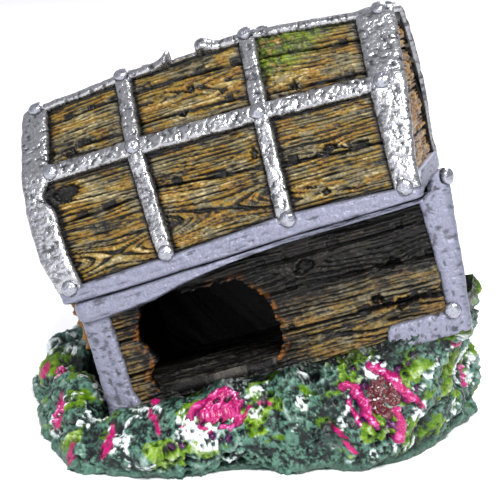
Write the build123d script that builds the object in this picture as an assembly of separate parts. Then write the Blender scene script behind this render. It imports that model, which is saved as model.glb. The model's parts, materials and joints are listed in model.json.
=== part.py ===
from build123d import *
import math
import os

# Sunken treasure chest ornament that lets air bubbles out from under its lid.
# Every size is in millimetres.
#
# The chest is modelled square, in its own frame: u runs along its length to the right,
# v runs from its front to its back, and w runs up from the underside of its tub.
# It is then tipped and half sunk in a flat-bottomed rock base. In the finished part +Z is
# up, -Y is the front, and the origin is on the ground, at the middle of the outline.

# ---- the tub of the chest ----
tub_length = 100.0
tub_depth = 64.0
tub_height = 35.0
tub_wall = 4.0
tub_floor = 3.5
tub_end_flare = 4.2
tub_end_taper = 6.5
strap_thickness = 1.4
corner_strap_width = 6.5
rim_band_height = 6.5
foot_strap_length = 17.0
foot_strap_height = 4.5

# ---- the ragged hole that fish swim through ----
hole_from_left = 32.5
hole_above_bottom = 15.0
hole_half_length = 18.0
hole_half_height = 12.8

# ---- the barrel lid ----
lid_left_overhang = 3.5
lid_right_setback = 2.0
lid_front_overhang = 2.5
lid_back_overhang = 0.5
lid_seam = 0.3
lid_band_height = 5.5
lid_knee_height = 31.8
lid_knee_setback = 8.0
lid_crown_height = 50.7
lid_crown_setback = 19.7
lid_strap_thickness = 1.6
lid_panel_thickness = 2.8
lid_end_thickness = 3.0
lid_end_recess = 1.5
end_hoop_width = 7.5
inner_hoop_width = 4.6
inner_hoop_centres = (30.2, 65.2)
stringer_leg = 2.4
notch_from_left = 45.0
notch_width = 6.2
notch_depth = 1.2
rivet_radius = 2.4
rivet_sink = 0.9

# ---- the hinge along the back of the seam ----
hinge_from_end = 22.0
hinge_behind_tub = 3.2
knuckle_radius = 2.2
knuckle_length = 4.5
knuckle_gap = 0.3
pin_radius = 1.1
pin_clearance = 0.05
pin_head_radius = 1.7
pin_head_length = 0.8
leaf_thickness = 1.2
leaf_height = 8.0
leaf_clearance = 0.4

# ---- how the chest lies in the rock ----
chest_turn = 10.5
chest_lean = 6.0
chest_roll = 18.0
corner_above_ground = 8.0

# ---- the rock base, and how far it reaches past the tub's corners ----
base_past_front = 6.8
base_past_left = 27.0
base_past_back = 11.4
base_past_right = 0.0
base_corner_cut = 18.0
plinth_height = 7.0
ledge_inset = 5.0
bank_width = 10.0
bank_height = 17.0
bank_clearance = 3.0
back_bank_rise = 6.0

# ---- the air line's way in, and the stone that makes the bubbles ----
inlet_height = 11.0
inlet_outer_radius = 2.4
inlet_stub_radius = 2.0
inlet_bore_radius = 1.5
inlet_reach = 11.0
seal_radius = 5.0
seal_thickness = 3.0
pipe_outer_radius = 2.5
pipe_clearance = 0.1
pipe_bend_radius = 6.0
stone_from_right = 25.0
stone_from_front = 34.0
stone_radius = 6.0
stone_length = 15.0
socket_radius = 5.0
socket_height = 2.0
nipple_radius = 2.0
nipple_length = 6.0

# ---- the blooms on the coral: inward from the nearest edges of the rock, height, size ----
front_left_bloom = (57.0, 5.0, 8.0, 7.0)
front_right_bloom = (29.0, 7.0, 14.0, 8.0)
left_low_bloom = (15.0, 25.0, 7.0, 5.0)
left_high_bloom = (5.0, 36.0, 12.0, 5.0)
right_bloom = (8.7, 45.0, 13.0, 6.0)
back_bloom = (47.0, 7.0, 9.0, 6.0)

REACH = 400.0

os.makedirs("parts", exist_ok=True)


# ---- small helpers ----

def block(low, high):
    """Box between two opposite corners."""
    size = [high[i] - low[i] for i in range(3)]
    middle = [(high[i] + low[i]) / 2 for i in range(3)]
    return Pos(*middle) * Box(*size)


def prism(points, start, end):
    """Solid with the v-w section given by points, running along u from start to end."""
    section = Plane.YZ.offset(start) * Polygon(*points, align=None)
    return extrude(section, amount=end - start, dir=(1, 0, 0))


def rod(radius, start, end, v, w):
    """Round bar along u."""
    return Pos((start + end) / 2, v, w) * Rot(0, 90, 0) * Cylinder(radius, end - start)


def inset(points, distance):
    """The open outline moved inwards by distance, with mitred corners and level ends."""
    lines = []
    for (v0, w0), (v1, w1) in zip(points, points[1:]):
        run = math.hypot(v1 - v0, w1 - w0)
        normal = ((w1 - w0) / run, -(v1 - v0) / run)
        lines.append((normal, normal[0] * v0 + normal[1] * w0 + distance))
    moved = [(points[0][0] + distance, points[0][1])]
    for (n0, d0), (n1, d1) in zip(lines, lines[1:]):
        det = n0[0] * n1[1] - n0[1] * n1[0]
        moved.append(((d0 * n1[1] - d1 * n0[1]) / det, (n0[0] * d1 - n1[0] * d0) / det))
    moved.append((points[-1][0] - distance, points[-1][1]))
    return moved


def along(a, b, distance):
    """The point at a distance from a towards b."""
    run = math.dist(a, b)
    return tuple(p + (q - p) * distance / run for p, q in zip(a, b))


# ---- the chest's own outlines ----

lid_start = -lid_left_overhang
lid_end = tub_length - lid_right_setback
lid_base = tub_height + lid_seam
lid_front = -lid_front_overhang
lid_back = tub_depth + lid_back_overhang

front_half = [
    (lid_front, lid_base),
    (lid_front, lid_base + lid_band_height),
    (lid_front + lid_knee_setback, lid_base + lid_knee_height),
    (lid_front + lid_crown_setback, lid_base + lid_crown_height),
]
back_half = [(lid_front + lid_back - v, w) for v, w in reversed(front_half)]
strap_line = front_half + back_half
wood_line = inset(strap_line, lid_strap_thickness)
inner_line = inset(strap_line, lid_strap_thickness + lid_panel_thickness)
KNEE, CROWN = 2, 3
PANELS = {
    "lid_front_panel": (0, 1, 2),
    "lid_front_crown_panel": (2, 3),
    "lid_crown_panel": (3, 4),
    "lid_back_crown_panel": (4, 5),
    "lid_back_panel": (5, 6, 7),
}
hoop_spans = [(lid_start, lid_start + end_hoop_width)]
for centre in inner_hoop_centres:
    middle = lid_start + centre
    hoop_spans.append((middle - inner_hoop_width / 2, middle + inner_hoop_width / 2))
hoop_spans.append((lid_end - end_hoop_width, lid_end))
bay_spans = [(a[1], b[0]) for a, b in zip(hoop_spans, hoop_spans[1:])]
hinge_v = tub_depth + hinge_behind_tub
hinge_w = tub_height + lid_seam / 2

nodes = {}


# ---- tub ----

def right_end_at(v, w):
    """How far right the tub's end is: it flares out to the rim and runs in to the back."""
    return tub_length + tub_end_flare * w / tub_height - tub_end_taper * v / tub_depth


def right_of_end(inward):
    """Everything to the right of the tub's slanting end, after the end moves inward."""
    front, back = right_end_at(-REACH, -REACH) - inward, right_end_at(REACH, -REACH) - inward
    far = tub_length + 2 * REACH
    section = Polygon((front, -REACH), (far, -REACH), (far, REACH), (back, REACH), align=None)
    lean = tub_end_flare / tub_height
    height = 2 * REACH * math.hypot(1, lean)
    return extrude(Pos(0, 0, -REACH) * section, amount=height, dir=(lean, 0, 1))


def tub_block(left, v_range, w_range, inward):
    """Box that starts at left and stops at the tub's slanting end, moved inward."""
    box = block((left, v_range[0], w_range[0]), (tub_length + tub_depth, v_range[1], w_range[1]))
    return box - right_of_end(inward)


def make_tub_walls():
    """Four walls and a floor, each a flat plate, inside the straps."""
    s, t = strap_thickness, strap_thickness + tub_wall
    back, tall = tub_depth, (0, tub_height)
    front = tub_block(s, (s, t), tall, s)
    hole = Pos(hole_from_left, (s + t) / 2, hole_above_bottom) * Rot(90, 0, 0)
    nodes["tub_front_wall"] = front - hole * extrude(
        Ellipse(hole_half_length, hole_half_height), amount=tub_wall, both=True)
    nodes["tub_back_wall"] = tub_block(s, (back - t, back - s), tall, s)
    nodes["tub_left_end"] = block((s, t, 0), (t, back - t, tub_height))
    nodes["tub_right_end"] = tub_block(t, (t, back - t), tall, s) & right_of_end(t)
    floor = tub_block(t, (t, back - t), (0, tub_floor), t)
    riser = Pos(tub_length - stone_from_right, stone_from_front, tub_floor / 2)
    bore = Cylinder(pipe_outer_radius + pipe_clearance, 2 * tub_floor)
    nodes["tub_floor"] = floor - riser * bore


def make_tub_straps():
    """Rim band round the top, an angle down each corner, and a foot at the front right."""
    s = strap_thickness
    band_low = tub_height - rim_band_height
    body = tub_block(s, (s, tub_depth - s), (-1, tub_height + 1), s)
    nodes["tub_rim_band"] = tub_block(0, (0, tub_depth), (band_low, tub_height), 0) - body
    width = corner_strap_width
    for name, v in (("front", 0), ("back", tub_depth - width)):
        left = block((0, v, 0), (width, v + width, band_low))
        right = tub_block(width, (v, v + width), (0, band_low), 0) & right_of_end(width)
        nodes[f"tub_corner_strap_{name}_left"] = left - body
        nodes[f"tub_corner_strap_{name}_right"] = right - body
    foot_start = tub_length - width - foot_strap_length
    nodes["tub_foot_strap"] = tub_block(foot_start, (0, s), (0, foot_strap_height), width)


def make_tub_rivets():
    """Domed heads on the corner straps and on the foot."""
    body = tub_block(0, (0, tub_depth), (-1, tub_height + 1), 0)
    in_from_end = corner_strap_width / 2
    low, high = foot_strap_height, tub_height - rim_band_height / 2
    heads = []
    for v, sink in ((0, rivet_sink), (tub_depth, -rivet_sink)):
        right = [(right_end_at(v, w) - in_from_end, w) for w in (low, high)]
        for u, w in [(in_from_end, high)] + right:
            heads.append(Pos(u, v + sink, w) * Sphere(rivet_radius) - body)
    nodes["tub_rivets"] = Compound([solid for h in heads for solid in h.solids()])


# ---- lid ----

def make_lid_panels():
    """Planked barrel in flat facets with mitred edges, and a plate at each end."""
    for name, steps in PANELS.items():
        outside = [wood_line[i] for i in steps]
        inside = [inner_line[i] for i in reversed(steps)]
        nodes[name] = prism(outside + inside, lid_start, lid_end)
    left = lid_start + lid_end_recess
    right = lid_end - lid_end_recess
    nodes["lid_left_end"] = prism(inner_line, left, left + lid_end_thickness)
    nodes["lid_right_end"] = prism(inner_line, right - lid_end_thickness, right)


def strap_strip(outside, inside, spans):
    """A bent strip of strap, cut to each of the spans."""
    return [prism(outside + inside[::-1], a, b) for a, b in spans]


def make_lid_hoops():
    """Four hoops over the barrel, standing on the rim band."""
    outside, inside = strap_line[1:-1], wood_line[1:-1]
    inside = [(inside[0][0], outside[0][1])] + inside[1:-1] + [(inside[-1][0], outside[-1][1])]
    for number, span in enumerate(hoop_spans, start=1):
        nodes[f"lid_hoop_{number}"] = strap_strip(outside, inside, [span])[0]


def make_lid_band():
    """Band round the foot of the lid."""
    t, e = lid_strap_thickness, lid_end_recess
    top = lid_base + lid_band_height
    outer = block((lid_start, lid_front, lid_base), (lid_end, lid_back, top))
    inner = block((lid_start + e, lid_front + t, lid_base - 1), (lid_end - e, lid_back - t, top + 1))
    barrel = prism(wood_line + wood_line[:1], lid_start, lid_end)
    ends = prism(inner_line + inner_line[:1], lid_start, lid_end)
    front_and_back = (outer - inner) - barrel
    end_bars = (outer - inner) & ends
    nodes["lid_rim_band"] = Compound(list(front_and_back.solids()) + list(end_bars.solids()))


def bent_strip(corner):
    """Outline pair for a strip folded over one long edge of the barrel."""
    outside, inside = [], []
    for line, points in ((strap_line, outside), (wood_line, inside)):
        before = along(line[corner], line[corner - 1], stringer_leg)
        after = along(line[corner], line[corner + 1], stringer_leg)
        points += [before, line[corner], after]
    return outside, inside


def make_lid_stringers():
    """Long straps between the hoops, and the broken one along the crown."""
    last = len(strap_line) - 1
    rows = {
        "lid_front_stringer": KNEE,
        "lid_back_stringer": last - KNEE,
        "lid_back_crown_strap": last - CROWN,
    }
    for name, corner in rows.items():
        pieces = strap_strip(*bent_strip(corner), bay_spans)
        nodes[name] = Compound(pieces)
    outside, inside = bent_strip(CROWN)
    notch_start = lid_start + notch_from_left
    notch_end = notch_start + notch_width
    left = [bay_spans[0], (bay_spans[1][0], notch_start)]
    right = [(notch_end, bay_spans[1][1]), bay_spans[2]]
    nodes["lid_crown_strap_left"] = Compound(strap_strip(outside, inside, left))
    nodes["lid_crown_strap_right"] = Compound(strap_strip(outside, inside, right))
    top = wood_line[CROWN][1]
    edge = wood_line[CROWN][0]
    bite = block((notch_start, edge - 1, top - notch_depth),
                 (notch_end, edge + 2 * stringer_leg, top + 1))
    nodes["lid_crown_panel"] = nodes["lid_crown_panel"] - bite
    nodes["lid_front_crown_panel"] = nodes["lid_front_crown_panel"] - bite


def make_lid_rivets():
    """Domed heads where the long straps cross the hoops."""
    barrel = prism(strap_line, lid_start - 1, lid_end + 1)
    band_w = lid_base + lid_band_height * 0.6
    rows = [(lid_front, band_w), strap_line[KNEE], strap_line[CROWN]]
    rows += [(lid_front + lid_back - v, w) for v, w in rows]
    middle = ((lid_front + lid_back) / 2, lid_base)
    heads = []
    for span in hoop_spans:
        for row in rows:
            v, w = along(row, (middle[0], max(row[1] - 8, middle[1])), rivet_sink)
            head = Pos(sum(span) / 2, v, w) * Sphere(rivet_radius) - barrel
            heads += head.solids()
    nodes["lid_rivets"] = Compound(heads)


# ---- hinge ----

def make_hinges():
    """Two butt hinges: a knuckle on the lid runs between two on the tub."""
    half = knuckle_length / 2
    step = knuckle_length + knuckle_gap
    seat = hinge_behind_tub - leaf_thickness
    for side, middle in (("left", hinge_from_end), ("right", tub_length - hinge_from_end)):
        bore = rod(pin_radius + pin_clearance, middle - REACH, middle + REACH, hinge_v, hinge_w)
        low = hinge_w - leaf_height
        tub_leaf = []
        for offset in (-step, step):
            a, b = middle + offset - half, middle + offset + half
            knuckle = rod(knuckle_radius, a, b, hinge_v, hinge_w)
            leaf = block((a, tub_depth, low), (b, hinge_v, hinge_w))
            notch = block((a, tub_depth + leaf_thickness, low), (b, hinge_v + 1, low + seat))
            tub_leaf += ((knuckle + leaf - notch) - bore).solids()
        nodes["tub_hinge_" + side] = Compound(tub_leaf)
        a, b = middle - half, middle + half
        knuckle = rod(knuckle_radius, a, b, hinge_v, hinge_w)
        leaf = block((a, lid_back, hinge_w + leaf_clearance),
                     (b, hinge_v, hinge_w + lid_band_height - leaf_clearance))
        nodes["lid_hinge_" + side] = knuckle + leaf - bore
        ends = middle - step - half, middle + step + half
        shank = rod(pin_radius, ends[0], ends[1], hinge_v, hinge_w)
        heads = [rod(pin_head_radius, ends[0] - pin_head_length, ends[0], hinge_v, hinge_w),
                 rod(pin_head_radius, ends[1], ends[1] + pin_head_length, hinge_v, hinge_w)]
        nodes["hinge_pin_" + side] = shank + heads[0] + heads[1]


# ---- air stone inside the tub ----

def make_air_stone():
    """Porous stone on a nipple that screws into the floor."""
    spot = Pos(tub_length - stone_from_right, stone_from_front, tub_floor)
    flange = Pos(0, 0, socket_height / 2) * Cylinder(socket_radius, socket_height)
    nipple = Pos(0, 0, socket_height + nipple_length / 2) * Cylinder(nipple_radius, nipple_length)
    bore = Cylinder(nipple_radius / 2, 4 * nipple_length)
    nodes["stone_socket"] = spot * (flange + nipple - bore)
    stone = Pos(0, 0, socket_height + stone_length / 2) * Cylinder(stone_radius, stone_length)
    seat = Pos(0, 0, socket_height + nipple_length / 2) * Cylinder(nipple_radius, nipple_length)
    nodes["air_stone"] = spot * (stone - seat)


# ---- rock, in the finished part's frame ----

chest_place = (Pos(0, 0, corner_above_ground) * Rot(0, 0, -chest_turn)
               * Rot(-chest_lean, 0, 0) * Rot(0, -chest_roll, 0))


def chest_point(u, v, w):
    """Where a point of the chest lies in the finished part's frame."""
    return (chest_place * Pos(u, v, w)).position


base_left = -base_past_left
base_right = chest_point(tub_length, tub_depth, 0).X + base_past_right
base_front = chest_point(tub_length, 0, 0).Y - base_past_front
base_back = chest_point(0, tub_depth, 0).Y + base_past_back


def outline(inward):
    """Footprint of the rock with its corners cut off, moved inward on every side."""
    cut = base_corner_cut
    left, right = base_left + inward, base_right - inward
    front, back = base_front + inward, base_back - inward
    return Polygon(
        (left + cut, front), (right - cut, front), (right, front + 2 * cut), (right, back - cut),
        (right - cut, back), (left + cut, back), (left, back - cut), (left, front + 2 * cut),
        align=None)


def make_rock():
    """Flat plinth, the ledge that the tub lies on, and banks against its left and back."""
    tub = chest_place * tub_block(0, (0, tub_depth), (0, tub_height), 0)
    below = chest_place * block((-REACH, -REACH, -REACH), (REACH, REACH, 0))
    above_plinth = block((-REACH, -REACH, plinth_height), (REACH, REACH, REACH))
    behind = chest_place * block((-REACH, tub_depth, 0), (REACH, REACH, back_bank_rise))
    plinth = extrude(outline(0), amount=plinth_height)
    nodes["rock_plinth"] = plinth - tub
    upper = extrude(outline(ledge_inset), amount=REACH)
    nodes["rock_ledge"] = upper & below & above_plinth
    nodes["coral_bank_back"] = (upper & behind & above_plinth) - nodes["tub_rivets"]
    bank = block((base_left + ledge_inset, 0, plinth_height),
                 (base_left + ledge_inset + bank_width, base_back - 2 * ledge_inset, bank_height))
    bank_limit = chest_place * block((-bank_clearance, -REACH, -REACH), (REACH, REACH, REACH))
    nodes["coral_bank_left"] = (bank & upper) - bank_limit - behind


def make_air_line():
    """Spigot and seal at the back of the rock, and the pipe from there to the stone."""
    foot = chest_point(tub_length - stone_from_right, stone_from_front, 0)
    top = chest_point(tub_length - stone_from_right, stone_from_front, tub_floor)
    x, y_face = foot.X, base_back - ledge_inset
    down = (foot - top).normalized()
    corner = foot - down * ((foot.Z - inlet_height) / down.Z)
    x = corner.X
    start = Vector(x, y_face - seal_thickness, inlet_height)
    path = FilletPolyline(start, corner, top, radius=pipe_bend_radius)
    end_plane = Plane(origin=start, z_dir=(0, -1, 0))
    ring = end_plane * (Circle(pipe_outer_radius) - Circle(inlet_bore_radius))
    nodes["air_pipe"] = sweep(ring, path=path)
    channel = sweep(end_plane * Circle(pipe_outer_radius + pipe_clearance), path=path)
    at_face = Pos(x, y_face, inlet_height) * Rot(90, 0, 0)
    seal = Pos(0, 0, seal_thickness / 2) * Cylinder(seal_radius, seal_thickness)
    nodes["inlet_seal"] = at_face * (seal - Cylinder(inlet_stub_radius, 4 * seal_thickness))
    barrel = Pos(0, 0, -inlet_reach / 2) * Cylinder(inlet_outer_radius, inlet_reach)
    stub = Pos(0, 0, seal_thickness / 2) * Cylinder(inlet_stub_radius, seal_thickness)
    bore = Cylinder(inlet_bore_radius, 4 * inlet_reach)
    nodes["air_inlet"] = at_face * (barrel + stub - bore)
    pocket = at_face * Pos(0, 0, -REACH / 2 + seal_thickness) * Cylinder(seal_radius, REACH)
    for name in ("rock_plinth", "rock_ledge", "coral_bank_back"):
        nodes[name] = nodes[name] - channel - pocket
    return Vector(x, y_face + inlet_reach, inlet_height)


def make_blooms():
    """Low domes that stand on the rock where the coral blooms."""
    rocks = [n for n in nodes if n.startswith(("rock", "coral"))]
    sites = {
        "bloom_front_left": (base_left, 1, base_front, 1, front_left_bloom),
        "bloom_front_right": (base_right, -1, base_front, 1, front_right_bloom),
        "bloom_left_low": (base_left, 1, base_front, 1, left_low_bloom),
        "bloom_left_high": (base_left, 1, base_back, -1, left_high_bloom),
        "bloom_right": (base_right, -1, base_front, 1, right_bloom),
        "bloom_back": (base_left, 1, base_back, -1, back_bloom),
    }
    for name, (x_edge, x_way, y_edge, y_way, bloom) in sites.items():
        x_in, y_in, z, radius = bloom
        dome = Pos(x_edge + x_way * x_in, y_edge + y_way * y_in, z) * Sphere(radius)
        for rock in rocks:
            dome = dome - nodes[rock]
        dome = dome & block((-REACH, -REACH, 1.0), (REACH, REACH, REACH))
        nodes[name] = max(dome.solids(), key=lambda solid: solid.volume)


# ---- build, place and write ----

make_tub_walls()
make_tub_straps()
make_tub_rivets()
make_lid_panels()
make_lid_hoops()
make_lid_band()
make_lid_stringers()
make_lid_rivets()
make_hinges()
make_air_stone()
chest_nodes = list(nodes)
for name in chest_nodes:
    nodes[name] = chest_place * nodes[name]
make_rock()
inlet_tip = make_air_line()
make_blooms()

boxes = [shape.bounding_box() for shape in nodes.values()]
middle_x = (min(b.min.X for b in boxes) + max(b.max.X for b in boxes)) / 2
middle_y = (min(b.min.Y for b in boxes) + max(b.max.Y for b in boxes)) / 2
to_origin = Pos(-middle_x, -middle_y, 0)
for name, shape in nodes.items():
    export_step(to_origin * shape, f"parts/{name}.step")

hinge_point = to_origin.position + chest_point(tub_length / 2, hinge_v, hinge_w)
hinge_other = to_origin.position + chest_point(tub_length / 2 - 1, hinge_v, hinge_w)
chest_corner = to_origin.position + chest_place.position
print("nodes", len(nodes))
print("hinge point", hinge_point, "opening axis", hinge_other - hinge_point)
print("inlet tip", to_origin.position + inlet_tip)
print("chest corner", chest_corner)
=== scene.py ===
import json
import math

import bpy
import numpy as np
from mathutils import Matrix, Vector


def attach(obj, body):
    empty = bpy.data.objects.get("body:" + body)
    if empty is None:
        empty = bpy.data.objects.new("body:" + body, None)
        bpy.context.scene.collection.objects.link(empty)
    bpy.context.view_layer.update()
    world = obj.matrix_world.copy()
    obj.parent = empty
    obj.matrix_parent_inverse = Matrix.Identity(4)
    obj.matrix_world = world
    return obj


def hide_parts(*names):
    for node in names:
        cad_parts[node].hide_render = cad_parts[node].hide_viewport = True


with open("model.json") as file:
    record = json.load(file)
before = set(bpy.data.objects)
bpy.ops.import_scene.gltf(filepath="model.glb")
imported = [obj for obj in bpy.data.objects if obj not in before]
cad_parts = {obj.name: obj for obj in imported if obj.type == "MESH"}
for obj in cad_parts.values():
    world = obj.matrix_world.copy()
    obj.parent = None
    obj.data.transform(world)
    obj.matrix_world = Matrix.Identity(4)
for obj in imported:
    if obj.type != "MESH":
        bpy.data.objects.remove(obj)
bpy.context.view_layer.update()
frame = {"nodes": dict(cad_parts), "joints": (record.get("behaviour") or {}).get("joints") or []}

# %% [markdown]
# # A sunken treasure chest that blows bubbles
#
# This lesson dresses a small aquarium ornament: a resin treasure chest, tipped and half
# sunk in a coral rock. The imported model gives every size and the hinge. What is made here
# is what a sculptor and a painter would add: carved planks, hammered straps, pitted coral,
# and the paint that was washed into the hollows and brushed over the ridges.
#
# Every new piece is a surface worked out with numpy. Its relief and its paint come from
# the same numbers, so the dark wash always lies in the real hollows.

MM = 0.001

# %% [markdown]
# ## Where the chest lies
#
# The chest was modelled square and then tipped, so its planks and straps are easiest to
# describe in its own directions: u along it to the right, v from front to back, w up from
# the underside of the tub. One turn and one corner carry those into the finished frame.
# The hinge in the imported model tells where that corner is.

# %% The chest's own frame
TUB_LENGTH, TUB_DEPTH, TUB_HEIGHT = 100.0, 64.0, 35.0
TUB_WALL, SKIN = 4.0, 1.4
END_FLARE, END_TAPER = 4.2, 6.5
LID_START, LID_END = -3.5, 98.0
LID_BASE = TUB_HEIGHT + 0.3
LID_FRONT, LID_BACK = -2.5, TUB_DEPTH + 0.5
BAND_HEIGHT = 5.5
LID_STRAP, LID_PANEL = 1.6, 2.8
HINGE = (TUB_LENGTH / 2, TUB_DEPTH + 3.2, TUB_HEIGHT + 0.15)
CHEST_TURN, CHEST_LEAN, CHEST_ROLL = 10.5, 6.0, 18.0


def turn(degrees, axis):
    """Rotation matrix about one axis: cosine on the diagonal, sine across it."""
    c, s = math.cos(math.radians(degrees)), math.sin(math.radians(degrees))
    rows = {"x": [[1, 0, 0], [0, c, -s], [0, s, c]],
            "y": [[c, 0, s], [0, 1, 0], [-s, 0, c]],
            "z": [[c, -s, 0], [s, c, 0], [0, 0, 1]]}
    return np.array(rows[axis])


TILT = turn(-CHEST_TURN, "z") @ turn(-CHEST_LEAN, "x") @ turn(-CHEST_ROLL, "y")
hinge_point = np.array(frame["joints"][0]["pos_m"]) / MM
CORNER = hinge_point - TILT @ np.array(HINGE)


def from_chest(points):
    """Chest millimetres to frame millimetres: tilt each point, then add the corner."""
    return np.asarray(points, float) @ TILT.T + CORNER


print("chest corner at", CORNER.round(2), "mm")

# %% [markdown]
# ## The camera and the light
#
# The ornament is seen from in front and a little above, from about forty centimetres,
# with a long lens. A broad lamp in front and overhead puts the bright band on the straps
# along the lid's knee, and a pale room fills the rest with a cool grey.

# %% Camera
CAMERA_IN_CHEST = (141.9, -415.3, 73.8)
CAMERA_LOOK_DOWN = 14.95
FOCAL_PER_WIDTH = 3.33891
NEAREST, FARTHEST = 0.01, 20.0

camera_data = bpy.data.cameras.new("camera")
camera_data.sensor_fit = "HORIZONTAL"
camera_data.lens = FOCAL_PER_WIDTH * camera_data.sensor_width
camera_data.clip_start, camera_data.clip_end = NEAREST, FARTHEST
camera = bpy.data.objects.new("camera", camera_data)
bpy.context.scene.collection.objects.link(camera)
camera.location = from_chest(CAMERA_IN_CHEST) * MM
camera.rotation_euler = (math.radians(90 - CAMERA_LOOK_DOWN), 0, 0)
bpy.context.scene.camera = camera
print("camera at", tuple(round(c, 3) for c in camera.location))

# %% Lamps, room and floor
def lamp(name, place, aim, size, power, colour):
    """A square soft box at place, turned to face aim."""
    data = bpy.data.lights.new(name, "AREA")
    data.shape, data.size, data.energy, data.color = "SQUARE", size, power, colour
    lamp_object = bpy.data.objects.new(name, data)
    bpy.context.scene.collection.objects.link(lamp_object)
    away = Vector(place) - Vector(aim)
    lamp_object.rotation_euler = away.to_track_quat("Z", "Y").to_euler()
    lamp_object.location = place


lamp("key", (0.10, -0.75, 0.80), (0, 0, 0.06), 0.30, 15.0, (1.0, 0.99, 0.97))
lamp("front_fill", (-0.45, -0.95, 0.30), (0, 0, 0.05), 0.7, 2.5, (0.93, 0.94, 1.0))
lamp("back_rim", (0.35, 0.75, 0.75), (0, 0, 0.08), 0.5, 9.0, (0.95, 0.95, 1.0))

world = bpy.data.worlds.new("room")
bpy.context.scene.world = world
world.use_nodes = True
room = world.node_tree.nodes["Background"]
room.inputs["Color"].default_value = (0.90, 0.90, 0.96, 1)
room.inputs["Strength"].default_value = 0.62
bpy.context.scene.view_settings.view_transform = "Standard"

FLOOR_REACH = 3.0
floor_mesh = bpy.data.meshes.new("floor")
floor_corners = [(FLOOR_REACH * x, FLOOR_REACH * y, 0) for x, y in ((-1, -1), (1, -1), (1, 1), (-1, 1))]
floor_mesh.from_pydata(floor_corners, [], [(0, 1, 2, 3)])
floor = bpy.data.objects.new("floor", floor_mesh)
bpy.context.scene.collection.objects.link(floor)
floor_paint = bpy.data.materials.new("pale_floor")
floor_paint.use_nodes = True
floor_shader = floor_paint.node_tree.nodes["Principled BSDF"]
floor_shader.inputs["Base Color"].default_value = (0.93, 0.93, 0.94, 1)
floor_shader.inputs["Roughness"].default_value = 0.7
floor_mesh.materials.append(floor_paint)
print("three lamps, a pale room and a floor", 2 * FLOOR_REACH, "m wide")

# %% [markdown]
# ## Numbers that look hand made
#
# Carved grain, hammer marks and coral all come from noise: a smooth random number for
# each point in space. A whole-number hash gives a value at each lattice point, and a
# smooth blend fills in between. Nothing is drawn from a random generator, so every run
# is the same.

# %% Noise on whole arrays
HASH_X, HASH_Y, HASH_Z, HASH_SEED = 374761393, 668265263, 1442695041, 1274126177
HASH_MASK = 0xFFFFFFFF
SEED_STEP = 17
FAR_AWAY = 1e9


def hashed(ix, iy, iz, seed):
    """A value in 0..1 for each lattice point: multiply, shift and mix its whole numbers."""
    h = (ix * HASH_X + iy * HASH_Y + iz * HASH_Z + seed * HASH_SEED) & HASH_MASK
    h = ((h ^ (h >> 13)) * HASH_SEED) & HASH_MASK
    h = h ^ (h >> 16)
    return (h & 0xFFFF) / 65535.0


def noise(x, y, z=0.0, seed=0):
    """Value noise in 0..1: smooth blend of the eight lattice values round each point."""
    x, y, z = np.broadcast_arrays(np.asarray(x, float), y, z)
    cell = [np.floor(a).astype(np.int64) for a in (x, y, z)]
    part = [a - c for a, c in zip((x, y, z), cell)]
    fx, fy, fz = [p * p * (3 - 2 * p) for p in part]
    total = 0.0
    for dx in (0, 1):
        for dy in (0, 1):
            for dz in (0, 1):
                weight = (fx if dx else 1 - fx) * (fy if dy else 1 - fy) * (fz if dz else 1 - fz)
                total = total + weight * hashed(cell[0] + dx, cell[1] + dy, cell[2] + dz, seed)
    return total


def fractal(x, y, z=0.0, seed=0, octaves=4):
    """Sum of noises, each twice as fine and half as strong, scaled back to 0..1."""
    total, weight, scale = 0.0, 0.0, 1.0
    for octave in range(octaves):
        total = total + noise(x * scale, y * scale, z * scale, seed + SEED_STEP * octave) / scale
        weight += 1 / scale
        scale *= 2
    return total / weight


def cells(x, y, z, seed):
    """Distances to the nearest and second nearest of one jittered point per lattice cell."""
    x, y, z = np.broadcast_arrays(np.asarray(x, float), y, z)
    base = [np.floor(a).astype(np.int64) for a in (x, y, z)]
    first = second = np.full(x.shape, FAR_AWAY)
    for dx in (-1, 0, 1):
        for dy in (-1, 0, 1):
            for dz in (-1, 0, 1):
                c = (base[0] + dx, base[1] + dy, base[2] + dz)
                px = c[0] + hashed(*c, seed)
                py = c[1] + hashed(*c, seed + 1)
                pz = c[2] + hashed(*c, seed + 2)
                d = np.sqrt((x - px) ** 2 + (y - py) ** 2 + (z - pz) ** 2)
                second = np.minimum(second, np.maximum(first, d))
                first = np.minimum(first, d)
    return first, second


def step(low, high, value):
    """Smooth step: 0 below low, 1 above high, and an S curve between."""
    t = np.clip((value - low) / (high - low), 0, 1)
    return t * t * (3 - 2 * t)


def read(table, place):
    """Value of a table of (place, value) pairs at each place, straight between its rows."""
    return np.interp(place, *np.array(table, float).T)


def mix(a, b, amount):
    """Blend of two colours or arrays of colours by an array of amounts."""
    return np.asarray(a) + (np.asarray(b) - np.asarray(a)) * np.asarray(amount)[..., None]


print("noise at three points", noise(np.array([0.3, 1.7, 5.2]), 0.4).round(3))

# %% [markdown]
# ## From arrays to meshes
#
# A piece is a grid of points. Neighbouring points make the faces, a grid that closes on
# itself makes a tube or a ring, and what stays open gets a cap, so that every piece is a
# closed solid. If the first guess faces inwards, the volume comes out negative and every
# face is turned over.

# %% Mesh helpers
def grid_faces(rows, columns, wrap_rows=False, wrap_columns=False):
    """Four-sided faces between neighbours of a rows by columns grid of points."""
    index = np.arange(rows * columns).reshape(rows, columns)
    if wrap_rows:
        index = np.vstack([index, index[:1]])
    if wrap_columns:
        index = np.hstack([index, index[:, :1]])
    corners = [index[:-1, :-1], index[1:, :-1], index[1:, 1:], index[:-1, 1:]]
    return np.stack(corners, -1).reshape(-1, 4)


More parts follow.
